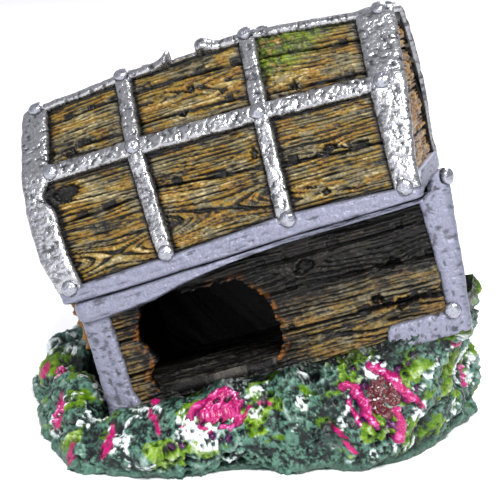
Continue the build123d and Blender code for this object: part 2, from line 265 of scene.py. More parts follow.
def signed_volume(points, faces):
    """Six times the volume that the faces enclose, from the origin, for its sign."""
    a, b, c = points[faces[:, 0]], points[faces[:, 1]], points[faces[:, 2]]
    d = points[faces[:, 3]]
    return np.einsum("ij,ij->i", a, np.cross(b, c)).sum() + np.einsum(
        "ij,ij->i", a, np.cross(c, d)).sum()


def build(name, points, faces, caps=(), paint=None):
    """Mesh object in metres from millimetre points, quads, capping polygons and colours."""
    points = np.asarray(points, float).reshape(-1, 3)
    centred = points - points.mean(0)
    if signed_volume(centred, faces) < 0:
        faces = faces[:, ::-1]
        caps = [cap[::-1] for cap in caps]
    loops = np.concatenate([faces.ravel()] + [np.asarray(cap).ravel() for cap in caps])
    sizes = np.array([4] * len(faces) + [len(cap) for cap in caps])
    mesh = bpy.data.meshes.new(name)
    mesh.vertices.add(len(points))
    mesh.vertices.foreach_set("co", (points * MM).ravel())
    mesh.loops.add(len(loops))
    mesh.loops.foreach_set("vertex_index", loops.astype(np.int32))
    mesh.polygons.add(len(sizes))
    mesh.polygons.foreach_set("loop_start", np.concatenate([[0], sizes.cumsum()[:-1]]))
    mesh.update(calc_edges=True)
    smooth = np.ones(len(sizes), bool)
    smooth[len(faces):] = False
    mesh.polygons.foreach_set("use_smooth", smooth)
    if paint is not None:
        colours = np.ones((len(points), 4))
        colours[:, :3] = np.clip(np.asarray(paint).reshape(-1, 3), 0, 1)
        layer = mesh.attributes.new("paint", "FLOAT_COLOR", "POINT")
        layer.data.foreach_set("color", colours.ravel())
    piece = bpy.data.objects.new(name, mesh)
    bpy.context.scene.collection.objects.link(piece)
    return piece


def finish_piece(piece, body, slot, material, *nodes):
    """Gives a piece its paint and its body, and hides the CAD nodes it stands for. Slot is not used."""
    piece.data.materials.append(material)
    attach(piece, body)
    if nodes:
        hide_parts(*nodes)
    print(piece.name, len(piece.data.polygons), "faces on", body)
    return piece


BEHIND_SHADE = 0.04


def slab(name, front, back_offset, paint):
    """Closed board: a carved front grid, straight sides, and one flat face behind.

    The rim of the grid, moved by back_offset, is the outline of the flat back. Sides and
    back are painted almost black, as painted shade for the gaps between pieces.
    """
    rows, columns = front.shape[:2]
    index = np.arange(rows * columns).reshape(rows, columns)
    rim = np.concatenate([index[0, :-1], index[:-1, -1], index[-1, :0:-1], index[:0:-1, 0]])
    points = front.reshape(-1, 3)
    behind = points[rim] + back_offset
    count = len(points)
    ring = np.arange(len(rim)) + count
    sides = np.stack([rim, np.roll(rim, -1), np.roll(ring, -1), ring], -1)
    quads = np.concatenate([grid_faces(rows, columns), sides])
    paint = paint.reshape(-1, 3)
    colours = np.concatenate([paint, paint[rim] * BEHIND_SHADE])
    return build(name, np.concatenate([points, behind]), quads, [ring], colours)


# %% [markdown]
# ## Paint
#
# An ornament like this is painted in two steps, a dark wash that runs into every hollow
# and a dry brush that only touches the ridges, and the bare resin gives it a wet gloss.
# Both steps are worked out with the relief and stored on the mesh as the attribute
# "paint". The material reads it, breaks it up with a grain finer than the mesh, and lets
# the same grain lift the surface and make its gloss uneven.

# %% Materials for painted resin
GRAIN_DARK, GRAIN_LIGHT = 0.3, 0.7
GLOSS_SPREAD = 0.12
GRAIN_HEIGHT = 0.3 * MM


def painted(name, roughness, grain, bump, metallic=0.0, spread=0.35, shine=0.5):
    """Stored paint, mottled by fine noise, with matching bump and uneven gloss."""
    material = bpy.data.materials.new(name)
    material.use_nodes = True
    nodes, links = material.node_tree.nodes, material.node_tree.links
    shader = nodes["Principled BSDF"]
    shader.inputs["Metallic"].default_value = metallic
    shader.inputs["Specular IOR Level"].default_value = shine
    stored = nodes.new("ShaderNodeAttribute")
    stored.attribute_name = "paint"
    place = nodes.new("ShaderNodeTexCoord")
    fine = nodes.new("ShaderNodeTexNoise")
    fine.inputs["Scale"].default_value = grain
    fine.inputs["Detail"].default_value = 3.0
    links.new(place.outputs["Object"], fine.inputs["Vector"])
    gain = nodes.new("ShaderNodeMapRange")
    gain.inputs["From Min"].default_value = GRAIN_DARK
    gain.inputs["From Max"].default_value = GRAIN_LIGHT
    gain.inputs["To Min"].default_value = 1 - spread
    gain.inputs["To Max"].default_value = 1 + spread
    links.new(fine.outputs["Fac"], gain.inputs["Value"])
    tint = nodes.new("ShaderNodeVectorMath")
    tint.operation = "SCALE"
    links.new(stored.outputs["Color"], tint.inputs[0])
    links.new(gain.outputs["Result"], tint.inputs["Scale"])
    links.new(tint.outputs["Vector"], shader.inputs["Base Color"])
    gloss = nodes.new("ShaderNodeMapRange")
    gloss.inputs["To Min"].default_value = roughness - GLOSS_SPREAD
    gloss.inputs["To Max"].default_value = roughness + GLOSS_SPREAD
    links.new(fine.outputs["Fac"], gloss.inputs["Value"])
    links.new(gloss.outputs["Result"], shader.inputs["Roughness"])
    relief = nodes.new("ShaderNodeBump")
    relief.inputs["Strength"].default_value = bump
    relief.inputs["Distance"].default_value = GRAIN_HEIGHT
    links.new(fine.outputs["Fac"], relief.inputs["Height"])
    links.new(relief.outputs["Normal"], shader.inputs["Normal"])
    return material


def solid_finish(name, colour, roughness, grain, bump, metallic=0.0, spread=0.15):
    """One colour, mottled by the same fine noise, for pieces that carry no stored paint."""
    material = painted(name, roughness, grain, bump, metallic=metallic, spread=spread)
    nodes = material.node_tree.nodes
    nodes.remove(next(n for n in nodes if n.type == "ATTRIBUTE"))
    next(n for n in nodes if n.type == "VECT_MATH").inputs[0].default_value = colour
    return material


lid_wood = painted("lid_wood", 0.42, 1500, 0.8, shine=0.28)
tub_wood = painted("tub_wood", 0.45, 1500, 0.8, shine=0.22)
silver = painted("silver_bright", 0.25, 1150, 0.85, metallic=0.92, spread=0.20)
# a duller, bluer copy of the silver for the bands and the tub's straps: painted shade and a painted bluish
# reflection
silver_painted_shade = painted("silver_painted_shade", 0.42, 1500, 0.9, metallic=0.35, spread=0.16)
coral_paint = painted("coral_paint", 0.34, 1300, 0.9, spread=0.35, shine=0.28)
bloom_gloss = painted("bloom_gloss", 0.27, 1500, 0.5, spread=0.2, shine=0.6)
print("finishes so far", [finish.name for finish in bpy.data.materials])

# %% [markdown]
# ## Carved planks
#
# On the real lid each facet is two or three boards with their grain cut into the resin.
# Grain follows the level lines of a field that mostly grows across the board. A knot
# pushes the field apart, so the lines bow round it and close into long loops, as they do
# in real flat-sawn wood. Grooves, cracks, seams between boards and chipped edges are then
# cut into that, and the brush of ochre catches only what is left standing.

# %% Grain, seams and knots
def grain_field(s, t, knots, seed):
    """Across-board distance, bent by slow noise and pushed apart round each knot.

    Round a knot at t0 the distance d becomes sign(d) * sqrt(d^2 + r^2 * bell(s)).
    """
    field = t + 1.6 * (fractal(s / 26, t / 9, seed=seed, octaves=2) - 0.5)
    for s0, t0, radius, reach in knots:
        d = field - t0
        push = radius ** 2 * np.exp(-((s - s0) / reach) ** 2)
        field = t0 + np.where(d < 0, -1, 1) * np.sqrt(d * d + push)
    return field


def zigzag(value):
    """1 at every whole number, falling straight to 0 half way to the next."""
    return np.abs(value % 1.0 - 0.5) * 2


def carve(s, t, seams, knots, holes, seed, spacing=1.05):
    """Height in mm of carved wood, and how much of the brush each point catches (0..1).

    Grooves are where the grain field, in spacings, comes near a whole number.
    """
    field = grain_field(s, t, knots, seed)
    wander = 0.8 * noise(s / 11, field / 1.3, seed=seed + 1)
    depth = step(0.34, 0.52, noise(s / 12, field / 1.1, seed=seed + 2))
    groove = step(0.56, 0.86, zigzag(field / spacing + wander)) * (0.25 + 0.75 * depth)
    fine_wave = zigzag(field / (spacing * 0.42) + noise(s / 9, field, seed=seed + 3))
    scratch = step(0.60, 0.95, fine_wave) * step(0.40, 0.60, noise(s / 7, field / 0.7, seed=seed + 12))
    fibre = fractal(s / 4.5, field / 0.30, seed=seed + 4, octaves=2) - 0.5
    crumble = fractal(s / 0.9, t / 0.6, seed=seed + 10, octaves=3) - 0.5
    broad = fractal(s / 14, t / 3.5, seed=seed + 5, octaves=3) - 0.5
    height = -0.80 * groove - 0.30 * scratch + 0.35 * fibre + 0.25 * crumble + 1.0 * broad
    catch = 0.80 - 1.05 * groove - 0.50 * scratch + 0.75 * fibre + 0.75 * crumble + 0.7 * broad
    for number, seam in enumerate(seams):
        edge = read(seam, s) + 0.5 * (noise(s / 8, number, seed=seed + 6) - 0.5)
        cut = np.exp(-((t - edge) / 0.34) ** 2)
        chipped = step(0.66, 0.72, noise(s / 3.2, number, seed=seed + 7))
        chip = chipped * step(1.5, 0.7, np.abs(t - edge - 0.7))
        height = height - 1.2 * cut - 0.6 * chip
        catch = catch - 1.6 * cut - 0.5 * chip
    for s0, t0, along, across in holes:
        angle = np.arctan2((t - t0) / across, (s - s0) / along)
        ragged = 1 + 0.7 * (noise(np.cos(angle) * 2 + s0, np.sin(angle) * 2 + t0, seed=seed + 8) - 0.5)
        d = np.hypot((s - s0) / along, (t - t0) / across) / ragged
        pit = step(1.15, 0.7, d + 0.5 * crumble)
        lip = np.exp(-((d - 1.4) / 0.25) ** 2)
        height = height - 1.5 * pit + 0.25 * lip
        catch = catch * (1 - 0.97 * pit) + 0.12 * lip
    return height, np.clip(catch, 0, 1.2)


OCHRE, AMBER, STRAW = (0.175, 0.112, 0.014), (0.200, 0.090, 0.010), (0.42, 0.34, 0.17)
ASH, WASH = (0.130, 0.122, 0.082), (0.0045, 0.0042, 0.0040)


def greyed(colour, tint, amount):
    """Colour drawn towards its own grey, times a tint, by an amount."""
    return mix(colour, colour.mean(-1, keepdims=True) * np.array(tint), amount)


def ochre_paint(s, t, catch, shade, seed):
    """Dark wash, ochre brushed on the ridges, ash and amber in patches, straw on the tips."""
    patch = fractal(s / 4.5, t / 1.5, seed=seed + 20, octaves=3)
    brown = mix(OCHRE, AMBER, 0.55 * step(0.54, 0.68, patch))
    brown = mix(brown, ASH, step(0.52, 0.36, patch) * 0.70)
    # shade below 1 takes ochre away and leaves the dark wash; callers use it to paint shade and light
    load = catch * shade
    colour = mix(WASH, brown, step(0.28, 0.84, load))
    return mix(colour, STRAW, 0.75 * step(0.95, 1.15, load))


print("brushed over the wash", WASH, ":", OCHRE, AMBER, ASH, STRAW)

# %% [markdown]
# ## The skin of the lid
#
# The lid is a barrel cut into flat facets. One line, followed from the front of the seam
# over the top to the back, gives its section. Every board and every strap of the lid lies
# on that line at some height above the wood, so one function places them all.
#
# The lid was modelled by hand and nothing on it is quite straight: its ends lean, its
# second hoop bends, its crown is arched and its seam sags. Short tables hold those small
# moves, and they only change how the lid looks.

# %% The lid's section as a path
KNEE_RISE, KNEE_SETBACK = 31.8, 8.0
CROWN_RISE, CROWN_SETBACK = 50.7, 19.7


def inset(line, depth):
    """Line moved inwards by depth: each corner goes along the mitre of its two sides."""
    line = np.asarray(line, float)
    run = np.diff(line, axis=0)
    out = np.stack([-run[:, 1], run[:, 0]], -1) / np.hypot(*run.T)[:, None]
    before, after = np.vstack([out[:1], out]), np.vstack([out, out[-1:]])
    mitre = (before + after) / (1 + (before * after).sum(1))[:, None]
    return line - depth * mitre


front_half = [(LID_FRONT, LID_BASE), (LID_FRONT, LID_BASE + BAND_HEIGHT),
              (LID_FRONT + KNEE_SETBACK, LID_BASE + KNEE_RISE),
              (LID_FRONT + CROWN_SETBACK, LID_BASE + CROWN_RISE)]
back_half = [(LID_FRONT + LID_BACK - v, w) for v, w in reversed(front_half)]
WOOD_LINE = inset(front_half + back_half, LID_STRAP)
SMOOTH_STEP = 0.1


def path(line, soften):
    """Function of length along a line with softened corners: place and outward normal.

    The line is cut into short steps, and each point is averaged with its neighbours.
    """
    line = np.asarray(line, float)
    length = np.concatenate([[0], np.hypot(*np.diff(line, axis=0).T).cumsum()])
    marks = np.arange(0, length[-1], SMOOTH_STEP)
    dense = np.stack([np.interp(marks, length, line[:, k]) for k in (0, 1)], -1)
    reach = int(3 * soften / SMOOTH_STEP)
    bell = np.exp(-0.5 * (np.arange(-reach, reach + 1) * SMOOTH_STEP / soften) ** 2)
    padded = np.pad(dense, ((reach, reach), (0, 0)), "reflect", reflect_type="odd")
    soft = np.stack([np.convolve(padded[:, k], bell / bell.sum(), "valid") for k in (0, 1)], -1)
    run = np.gradient(soft, axis=0)
    out = np.stack([-run[:, 1], run[:, 0]], -1) / np.hypot(*run.T)[:, None]

    def at(where):
        place = [np.interp(where, marks, soft[:, k]) for k in (0, 1)]
        normal = [np.interp(where, marks, out[:, k]) for k in (0, 1)]
        return place, normal
    return at, length


CORNER_SOFTNESS = 0.9
lid_path, LID_MARKS = path(WOOD_LINE, CORNER_SOFTNESS)

# leans are (height, sideways move), arches are (length along the lid, rise)
LEFT_LEAN = [(35.3, 0.8), (38.0, 0.4), (45.0, -1.8), (52.0, -2.8), (58.0, -2.9), (66.0, -2.6),
             (75.0, -1.7), (86.0, -0.6)]
RIGHT_LEAN = [(36.0, -0.8), (45.0, -0.4), (55.0, 1.2), (67.0, 2.4), (80.0, 3.2), (86.0, 3.0)]
HOOP_LEAN = [(35.3, 2.6), (50.0, 1.2), (64.0, 0.0), (86.0, -0.6)]
LEFT_FADE, RIGHT_FADE, HOOP_FADE = 22.0, 7.5, 8.0
SECOND_HOOP = 27.0
CROWN_ARCH = [(-3.5, -1.9), (26, 0.5), (62, 1.5), (98, -2.7)]
KNEE_ARCH = [(-3.5, -0.5), (26, 0), (62, -0.5), (98, -2.0)]


def from_lid(points):
    """Chest point to frame point, after the lean of both ends and of the second hoop.

    Each lean is a sideways move read from the height, faded out along the lid. The crown
    and the knee also rise or sag a little along the lid; heights between them share both.
    """
    points = np.asarray(points, float)
    u, v, w = np.moveaxis(points, -1, 0)
    left = read(LEFT_LEAN, w) * np.clip(1 - (u - LID_START) / LEFT_FADE, 0, 1)
    right = read(RIGHT_LEAN, w) * np.clip(1 - (LID_END - u) / RIGHT_FADE, 0, 1)
    hoop = read(HOOP_LEAN, w) * np.exp(-((u - SECOND_HOOP) / HOOP_FADE) ** 2) * step(40, 20, v)
    to_knee = np.clip((w - LID_BASE) / KNEE_RISE, 0, 1)
    to_crown = np.clip((w - LID_BASE - KNEE_RISE) / (CROWN_RISE - KNEE_RISE), 0, 1)
    rise = to_knee * (1 - to_crown) * read(KNEE_ARCH, u) + to_crown * read(CROWN_ARCH, u)
    return from_chest(np.stack([u + left + right + hoop, v, w + rise], -1))


def lid_skin(u, around, height):
    """Frame point at u along the lid, a length around its section, a height off the wood."""
    u, around, height = np.broadcast_arrays(np.asarray(u, float), around, height)
    (v, w), (nv, nw) = lid_path(around)
    return from_lid(np.stack([u, v + nv * height, w + nw * height], -1))


BAND_DROP = [(-3.5, 4.9), (26, 3.5), (45, 2.5), (62, 1.2), (80, 2.0), (97, 2.7)]
SEAM_DROP = [(-3.5, 3.4), (15, 3.2), (32, 2.5), (45, 2.2), (58, 1.6), (80, 1.2), (97, 1.0)]


def band_drop(u):
    """How far the upper edge of the lid's front band sags below its straight line."""
    return read(BAND_DROP, u)


def seam_drop(u):
    """How far the seam itself sags in front."""
    return read(SEAM_DROP, u)


print("lid section: corners at", LID_MARKS.round(1), "mm along it")

# %% [markdown]
# ## The boards of the lid
#
# Each facet is one wide casting of planks that runs the whole length of the lid. The
# straps cross over it later. Knots and seams are placed where they tell most; the
# fine grain takes care of itself. Next to every strap the wood is a little lower, and it is
# painted darker there as painted shade.

# %% Boards between the straps
HOOP_SPANS = [(LID_START, 4.0), (24.4, 29.0), (59.4, 64.0), (90.5, LID_END)]
BOARD_STEP, PLAIN_STEP = 0.25, 0.45


def near_straps(s, t, low, high):
    """Closeness to the nearest strap, 0..1: a bell on the distance to its edge."""
    gap = np.minimum(t - low, high - t)
    for start, end in HOOP_SPANS:
        gap = np.minimum(gap, np.maximum(start - s, s - end))
    return np.exp(-np.clip(gap, 0, None) ** 2 / 1.1)


def lid_board(name, node, low, high, edge, seams, knots, holes, seed, fine=False, moss=None, skirt=0.0):
    """Carved facet from low to high along the section: relief and paint from one field.

    A skirt carries the boards on below low, where the band over them sags.
    """
    pitch = BOARD_STEP if fine else PLAIN_STEP
    s = np.linspace(LID_START + 0.8, LID_END - 0.8, int((LID_END - LID_START) / pitch))[None, :]
    t = np.linspace(low - skirt, high, int((high + skirt - low) / pitch))[:, None]
    s, t = np.broadcast_arrays(s, t)
    height, catch = carve(s, t - low, seams, knots, holes, seed)
    low_edge = low + edge[0] - (band_drop(s) if skirt else 0)
    close = near_straps(s, t, low_edge, high - edge[1])
    height = height - 0.35 * close
    # the wood beside the straps is painted darker, as painted shade
    colour = ochre_paint(s, t, catch, 1 - 0.75 * close, seed)
    if moss:
        colour, height = moss(s, t - low, catch, colour, height)
    middle = (low + high) / 2
    inward = lid_skin(0, middle, -LID_PANEL) - lid_skin(0, middle, 0)
    boards = slab(name, lid_skin(s, t, height), inward, colour)
    finish_piece(boards, "lid", "lid_wood_resin", lid_wood, node)


DARK_MOSS, PALE_MOSS = (0.020, 0.042, 0.003), (0.120, 0.160, 0.012)


def moss_patch(s, t, catch, colour, height):
    """Green sponged over the upper left of the third bay, thinning to the right."""
    where = step(62, 65, s) * step(7.5, 11.5, t) * step(86, 74, s + 1.2 * (16 - t))
    rough = fractal(s / 1.1, t / 1.1, seed=71, octaves=3)
    cover = np.clip(where * step(0.36, 0.52, rough + 0.10 * where), 0, 1)
    green = mix(DARK_MOSS, PALE_MOSS, step(0.42, 0.62, rough)) * (0.22 + 0.85 * catch)[..., None]
    return mix(colour, green, cover), height + 0.5 * cover * (rough - 0.3)


front_seam = [(4, 13.3), (25, 14.7), (29, 15.5), (59, 13.3), (65, 12.8), (91, 11.3)]
lid_board(
    "lid_front_boards", "lid_front_panel", LID_MARKS[1] - 0.5, LID_MARKS[2], (0.6, 2.4), [front_seam],
    [(46, 5.6, 3.8, 12), (15, 1.6, 3.2, 7), (73.5, 2.6, 1.3, 6), (77, 13.6, 1.6, 4)],
    [(77.1, 13.7, 1.9, 1.4), (73.5, 2.4, 1.1, 1.0), (6.2, 21.4, 3.2, 2.4), (57.5, 17.8, 0.9, 1.5)],
    seed=3, fine=True, skirt=4.2)

upper_seam = [(0, 6.0), (24, 5.6), (29, 6.6), (60, 5.4), (64, 4.6), (91, 4.2)]
second_seam = [(0, 15.5), (40, 16.2), (60, 15.0), (91, 14.2)]
lid_board(
    "lid_upper_front_boards", "lid_front_crown_panel", LID_MARKS[2], LID_MARKS[3], (2.4, 0.5),
    [upper_seam, second_seam],
    [(44, 11.5, 2.0, 7), (69.5, 6.6, 1.5, 4), (10, 5.4, 1.4, 5), (53, 8.6, 1.2, 4)],
    [(9.7, 4.4, 1.7, 1.2), (44.1, 12.2, 1.6, 1.0), (41.3, 5.6, 1.1, 0.9), (52.9, 8.8, 1.4, 0.6),
     (71.5, 4.8, 0.9, 1.4)],
    seed=11, fine=True, moss=moss_patch)

# the crown and the back are seen less, so they are plainer and on a coarser grid
lid_board("lid_top_boards", "lid_crown_panel", LID_MARKS[3], LID_MARKS[4], (1.6, 1.6),
          [[(0, 9.0)], [(0, 18.5)]], [(20, 13, 2.2, 8), (70, 5, 1.8, 7)], [(48, 14, 1.4, 1.0)], seed=19)
lid_board("lid_upper_back_boards", "lid_back_crown_panel", LID_MARKS[4], LID_MARKS[5], (1.6, 2.4),
          [[(0, 8.2)], [(0, 16.0)]], [(34, 12, 2.2, 8), (80, 5, 1.6, 6)], [(76, 11, 1.5, 1.1)], seed=23)
lid_board("lid_back_boards", "lid_back_panel", LID_MARKS[5], LID_MARKS[6] + 0.5, (2.4, 0.6),
          [[(0, 13.0)]], [(50, 18, 2.6, 10), (12, 6, 2.0, 6)], [(84, 20, 1.7, 1.3)], seed=29)

# %% [markdown]
# ## The arched ends of the lid
#
# Each end is set back inside its hoop. At any height it reaches from the front of the
# arch to the back, so a grid that is ruled between the two sides fits it without a cut.
# These ends caught more of the amber brush than the front did.

# %% Arched ends
END_THICKNESS, END_RECESS = 3.0, 1.5


END_ROWS, END_COLUMNS = 110, 150
WARMER = np.array([0.060, 0.006, -0.004])


def arched_end(name, node, u_face, outward, seed):
    """Grid of heights by fractions across: front edge + fraction * (back edge - front edge)."""
    w = np.linspace(LID_BASE, WOOD_LINE[3, 1] - 0.4, END_ROWS)[:, None]
    front_edge = np.interp(w, WOOD_LINE[:4, 1], WOOD_LINE[:4, 0]) + 0.3
    back_edge = LID_FRONT + LID_BACK - front_edge
    v = front_edge + (back_edge - front_edge) * np.linspace(0, 1, END_COLUMNS)[None, :]
    v, w = np.broadcast_arrays(v, w)
    height, catch = carve(v, w - LID_BASE, [[(0, 13.5)], [(0, 26.0)], [(0, 38.0)]],
                          [(20, 20, 2.6, 9), (44, 33, 2.0, 8)], [(9, 9, 3.2, 4.6), (50, 12, 2, 2)], seed)
    edge = np.minimum(v - front_edge, back_edge - v)
    close = np.exp(-np.clip(edge - 1.5, 0, None) ** 2 / 1.5)
    # the wood next to the hoops is painted darker, as painted shade
    colour = ochre_paint(v, w, catch, 1.0 - 0.5 * close, seed)
    colour = colour + step(0.35, 0.7, catch)[..., None] * WARMER
    face = from_lid(np.stack([u_face + outward * height, v, w], -1))
    boards = slab(name, face, TILT @ np.array([-outward * END_THICKNESS, 0, 0]), colour)
    finish_piece(boards, "lid", "lid_wood_resin", lid_wood, node)


arched_end("lid_left_end_boards", "lid_left_end", LID_START + END_RECESS, -1, 37)
arched_end("lid_right_end_boards", "lid_right_end", LID_END - END_RECESS, 1, 41)

# %% [markdown]
# ## Hammered straps
#
# The straps are not metal: they are resin like the rest, modelled to look beaten and then
# brushed with silver. Each is a closed ring of points carried along the wood: a flat top
# with soft shoulders, and an underside that is sunk out of sight. Hammer dents and
# casting pits lift and lower the top, and the edges wander.

# %% One strap
SECTION_POINTS = 23
SUNK = 0.8
# the lavender is the silver painted duller and bluer, as painted shade and a painted bluish reflection; the
# dark colour is tarnish in pits and dents, and painted shade on shoulders and rivet feet
SILVER, LAVENDER_SHADE, TARNISH_AND_SHADE = (0.36, 0.365, 0.38), (0.190, 0.198, 0.262), (0.020, 0.021, 0.025)
TARNISH_AND_SHADE_COVER = 0.85


def section(power, fullness, tuck):
    """Places across a strap and the height of its top at each of them, both in shares.

    Across the top x = sin of an even angle, and the height is (1 - x^power)^fullness.
    Two more points, at x = tuck either way, are for the underside.
    """
    x = np.sin(np.linspace(-1, 1, SECTION_POINTS) * np.pi / 2)
    rise = np.clip(1 - x ** power, 0, 1) ** fullness
    return np.concatenate([x, [tuck, -tuck]]), np.concatenate([rise, [0, 0]])


def strap(name, skin, along, low, high, thickness, seed, dents=0.30, grain=(1.5, 1.5), ends=0.0,
          tone=SILVER, side=0.35):
    """Closed strap on a skin: for each step along, a section from low to high.

    Ends of length ends taper to a round. Dents is the depth of the beating and grain its
    size along and across; side is how dark the shoulders are painted, as painted shade.
    """
    along = np.asarray(along, float)
    low, high, thickness = [np.broadcast_to(a, along.shape).astype(float)
                            for a in (low, high, thickness)]
    x, rise = section(6, 0.45, 0.88)
    middle, half = (low + high) / 2, (high - low) / 2
    half = half + 0.35 * (noise(along / 2.3, seed, seed=seed) - 0.5)
    if ends:
        run = np.minimum(along - along[0], along[-1] - along) / ends
        taper = np.sqrt(np.clip(1 - (1 - np.clip(run, 0.02, 1)) ** 2, 0, 1))
        half, thickness = half * taper, thickness * taper ** 0.5
    across = middle[:, None] + half[:, None] * x
    length = np.broadcast_to(along[:, None], across.shape)
    beat = fractal(length / grain[0], across / grain[1], seed=seed, octaves=3) - 0.5
    pits = step(0.20, 0.10, noise(length / 0.8, across / 0.8, seed=seed + 5))
    broad = noise(length / 6, across / 5, seed=seed + 9) - 0.5
    relief = dents * (1.2 * beat + 0.9 * broad) - 0.25 * pits
    top = np.broadcast_to(rise, across.shape)
    height = top * (thickness[:, None] + relief)
    height[:, SECTION_POINTS:] = -SUNK
    # pits and low dents are tarnish; the darker shoulders are painted shade where the strap meets the wood
    tarnish_and_shade = np.clip(pits + step(0.42, 0.10, top) * side + 0.8 * step(-0.10, -0.24, beat), 0, 1)
    colour = mix(tone, TARNISH_AND_SHADE, tarnish_and_shade * TARNISH_AND_SHADE_COVER)
    faces = grid_faces(len(along), len(x), wrap_columns=True)
    first = np.arange(len(x))
    caps = [first, (first + (len(along) - 1) * len(x))[::-1]]
    return build(name, skin(length, across, height), faces, caps, colour)


def swapped(skin):
    """A skin with its two lengths swapped, for straps that run the other way on it."""
    def other_way(along, across, height):
        return skin(across, along, height)
    return other_way


# the first hoop reaches lower than the others, and is bitten just below the knee
STRAP_STEP, HOOP_REACH, FIRST_HOOP_REACH = 0.32, 3.0, 5.2
BITE, BITE_BELOW_KNEE, BITE_LENGTH = 2.2, 6.0, 3.4
for number, (start, end) in enumerate(HOOP_SPANS, 1):
    reach = FIRST_HOOP_REACH if number == 1 else HOOP_REACH
    round_the_lid = np.arange(LID_MARKS[1] - reach, LID_MARKS[6] + 2.0, STRAP_STEP)
    from_bite = round_the_lid - LID_MARKS[2] + BITE_BELOW_KNEE
    bite = BITE * (number == 1) * np.exp(-(from_bite / BITE_LENGTH) ** 2)
    hoop = strap(f"lid_hoop_{number}", swapped(lid_skin), round_the_lid, start, end - bite,
                 LID_STRAP + 0.1, 100 + number, dents=0.42, grain=(1.2, 1.2))
    finish_piece(hoop, "lid", "silver_paint", silver, f"lid_hoop_{number}")

# %% The straps along the knee and the crown
LEG = 2.4
along_lid = np.arange(LID_START + 1, LID_END - 1, STRAP_STEP)
LONG_STRAPS = [("lid_front_stringer", 2, 111, 0.55, (1.1, 1.0)),
               ("lid_back_stringer", 5, 112, 0.30, (1.5, 1.5)),
               ("lid_back_crown_strap", 4, 113, 0.30, (1.5, 1.5))]
for name, edge_number, seed, dents, grain in LONG_STRAPS:
    middle = LID_MARKS[edge_number]
    long_strap = strap(name, lid_skin, along_lid, middle - LEG, middle + LEG, LID_STRAP, seed,
                       dents=dents, grain=grain)
    finish_piece(long_strap, "lid", "silver_paint", silver, name)

# %% [markdown]
# ## The broken strap
#
# The front strap of the crown is broken a little left of the middle. The left piece rises
# to a torn point, the right one curls over in a blob, and the bare wood shows between. It
# makes the chest look wrecked, and it is the same strap as the others with a lift added.

# %% The broken crown strap
BREAK_LEFT, BREAK_RIGHT, CROWN_LIP = 40.2, 47.2, 0.9
CURL, CURL_BACK = 2.2, 2.0


def torn(u, around, height):
    """The lid's skin, lifted towards a break: height + a bell on the distance to it."""
    lift = CURL * np.exp(-((u - BREAK_LEFT) / 2.6) ** 2)
    lift = lift + CURL * np.exp(-((u - BREAK_RIGHT - CURL_BACK) / 2.8) ** 2)
    return lid_skin(u, around, height + lift * (height > 0))


for side, start, end in (("left", LID_START + 1, BREAK_LEFT), ("right", BREAK_RIGHT, LID_END - 1)):
    low = LID_MARKS[3] - CROWN_LIP
    piece = strap(f"lid_crown_strap_{side}", torn, np.arange(start, end, STRAP_STEP),
                  low, low + 2 * LEG, LID_STRAP, 115, ends=1.2)
    finish_piece(piece, "lid", "silver_paint", silver, f"lid_crown_strap_{side}")

# %% [markdown]
# ## The band along the seam
#
# A band goes right round the bottom of the lid and another round the top of the tub. In
# front the lower one is a wedge: broad on the left, where it lies flush with the lid, and
# almost nothing on the right, where it hides in the lid's shadow. The seam between them
# sags to the left, and both bands sag with it. Both show long scratches, and they are
# painted a duller, bluer silver than the hoops, as painted shade and a painted bluish reflection.

# %% Skins that go round the chest
RING_SOFTNESS = 0.8


def ring_skin(left, right, front, back, place):
    """Skin round an upright box: length from the front left corner, height, and offset."""
    middle = (left + right) / 2
    corners = [(middle, back), (left, back), (left, front), (right, front), (right, back),
               (middle, back)]
    at, length = path(corners, RING_SOFTNESS)

    def skin(around, w, height):
        around, w, height = np.broadcast_arrays(np.asarray(around, float), w, height)
        (u, v), (nu, nv) = at(around % length[-1])
        return place(np.stack([u - nu * height, v - nv * height, w], -1))
    return skin, length


def closed_strap(name, skin, total, low, high, thickness, sunk, seed):
    """Band round a box: the strap section on a closed path, deep enough to reach inside.

    Low, high and thickness are numbers or functions of the length round the box.
    """
    around = np.linspace(0, total, int(total / STRAP_STEP), endpoint=False)
    low, high, thickness = [f(around) if callable(f) else np.full(around.shape, f)
                            for f in (low, high, thickness)]
    x, rise = section(8, 0.4, 1.0)
    turn_round = 2 * np.pi * around / total
    ragged = 0.5 * (noise(8 * np.cos(turn_round) + 20, 8 * np.sin(turn_round) + 20, seed=seed) - 0.5)
    middle, half = (low + high) / 2, (high - low) / 2
    across = middle[:, None] + (half + ragged * 0.4)[:, None] * x
    length = np.broadcast_to(around[:, None], across.shape)
    ring_x, ring_y = 12 * np.cos(turn_round)[:, None], 12 * np.sin(turn_round)[:, None]
    scratch = fractal(ring_x + 30, ring_y + 30, across * 1.6, seed=seed + 2, octaves=3) - 0.5
    beat = fractal(ring_x * 4 + 50, ring_y * 4 + 50, across / 1.4, seed=seed + 3, octaves=2) - 0.5
    top = np.broadcast_to(rise, across.shape)
    height = top * (thickness[:, None] + 0.75 * scratch + 0.35 * beat)
    height[:, SECTION_POINTS:] = -np.array(sunk)
    # the darker shoulders are painted shade where the band meets the wood; the deep scratches are tarnish
    tarnish_and_shade = np.clip(step(0.35, 0.05, top) * 0.5 + step(-0.12, -0.26, scratch) * 0.8, 0, 1)
    faces = grid_faces(len(around), len(x), wrap_rows=True, wrap_columns=True)
    colour = mix(LAVENDER_SHADE, TARNISH_AND_SHADE, tarnish_and_shade * TARNISH_AND_SHADE_COVER)
    return build(name, skin(length, across, height), faces, (), colour)


STRAIGHT_TO = 60.0


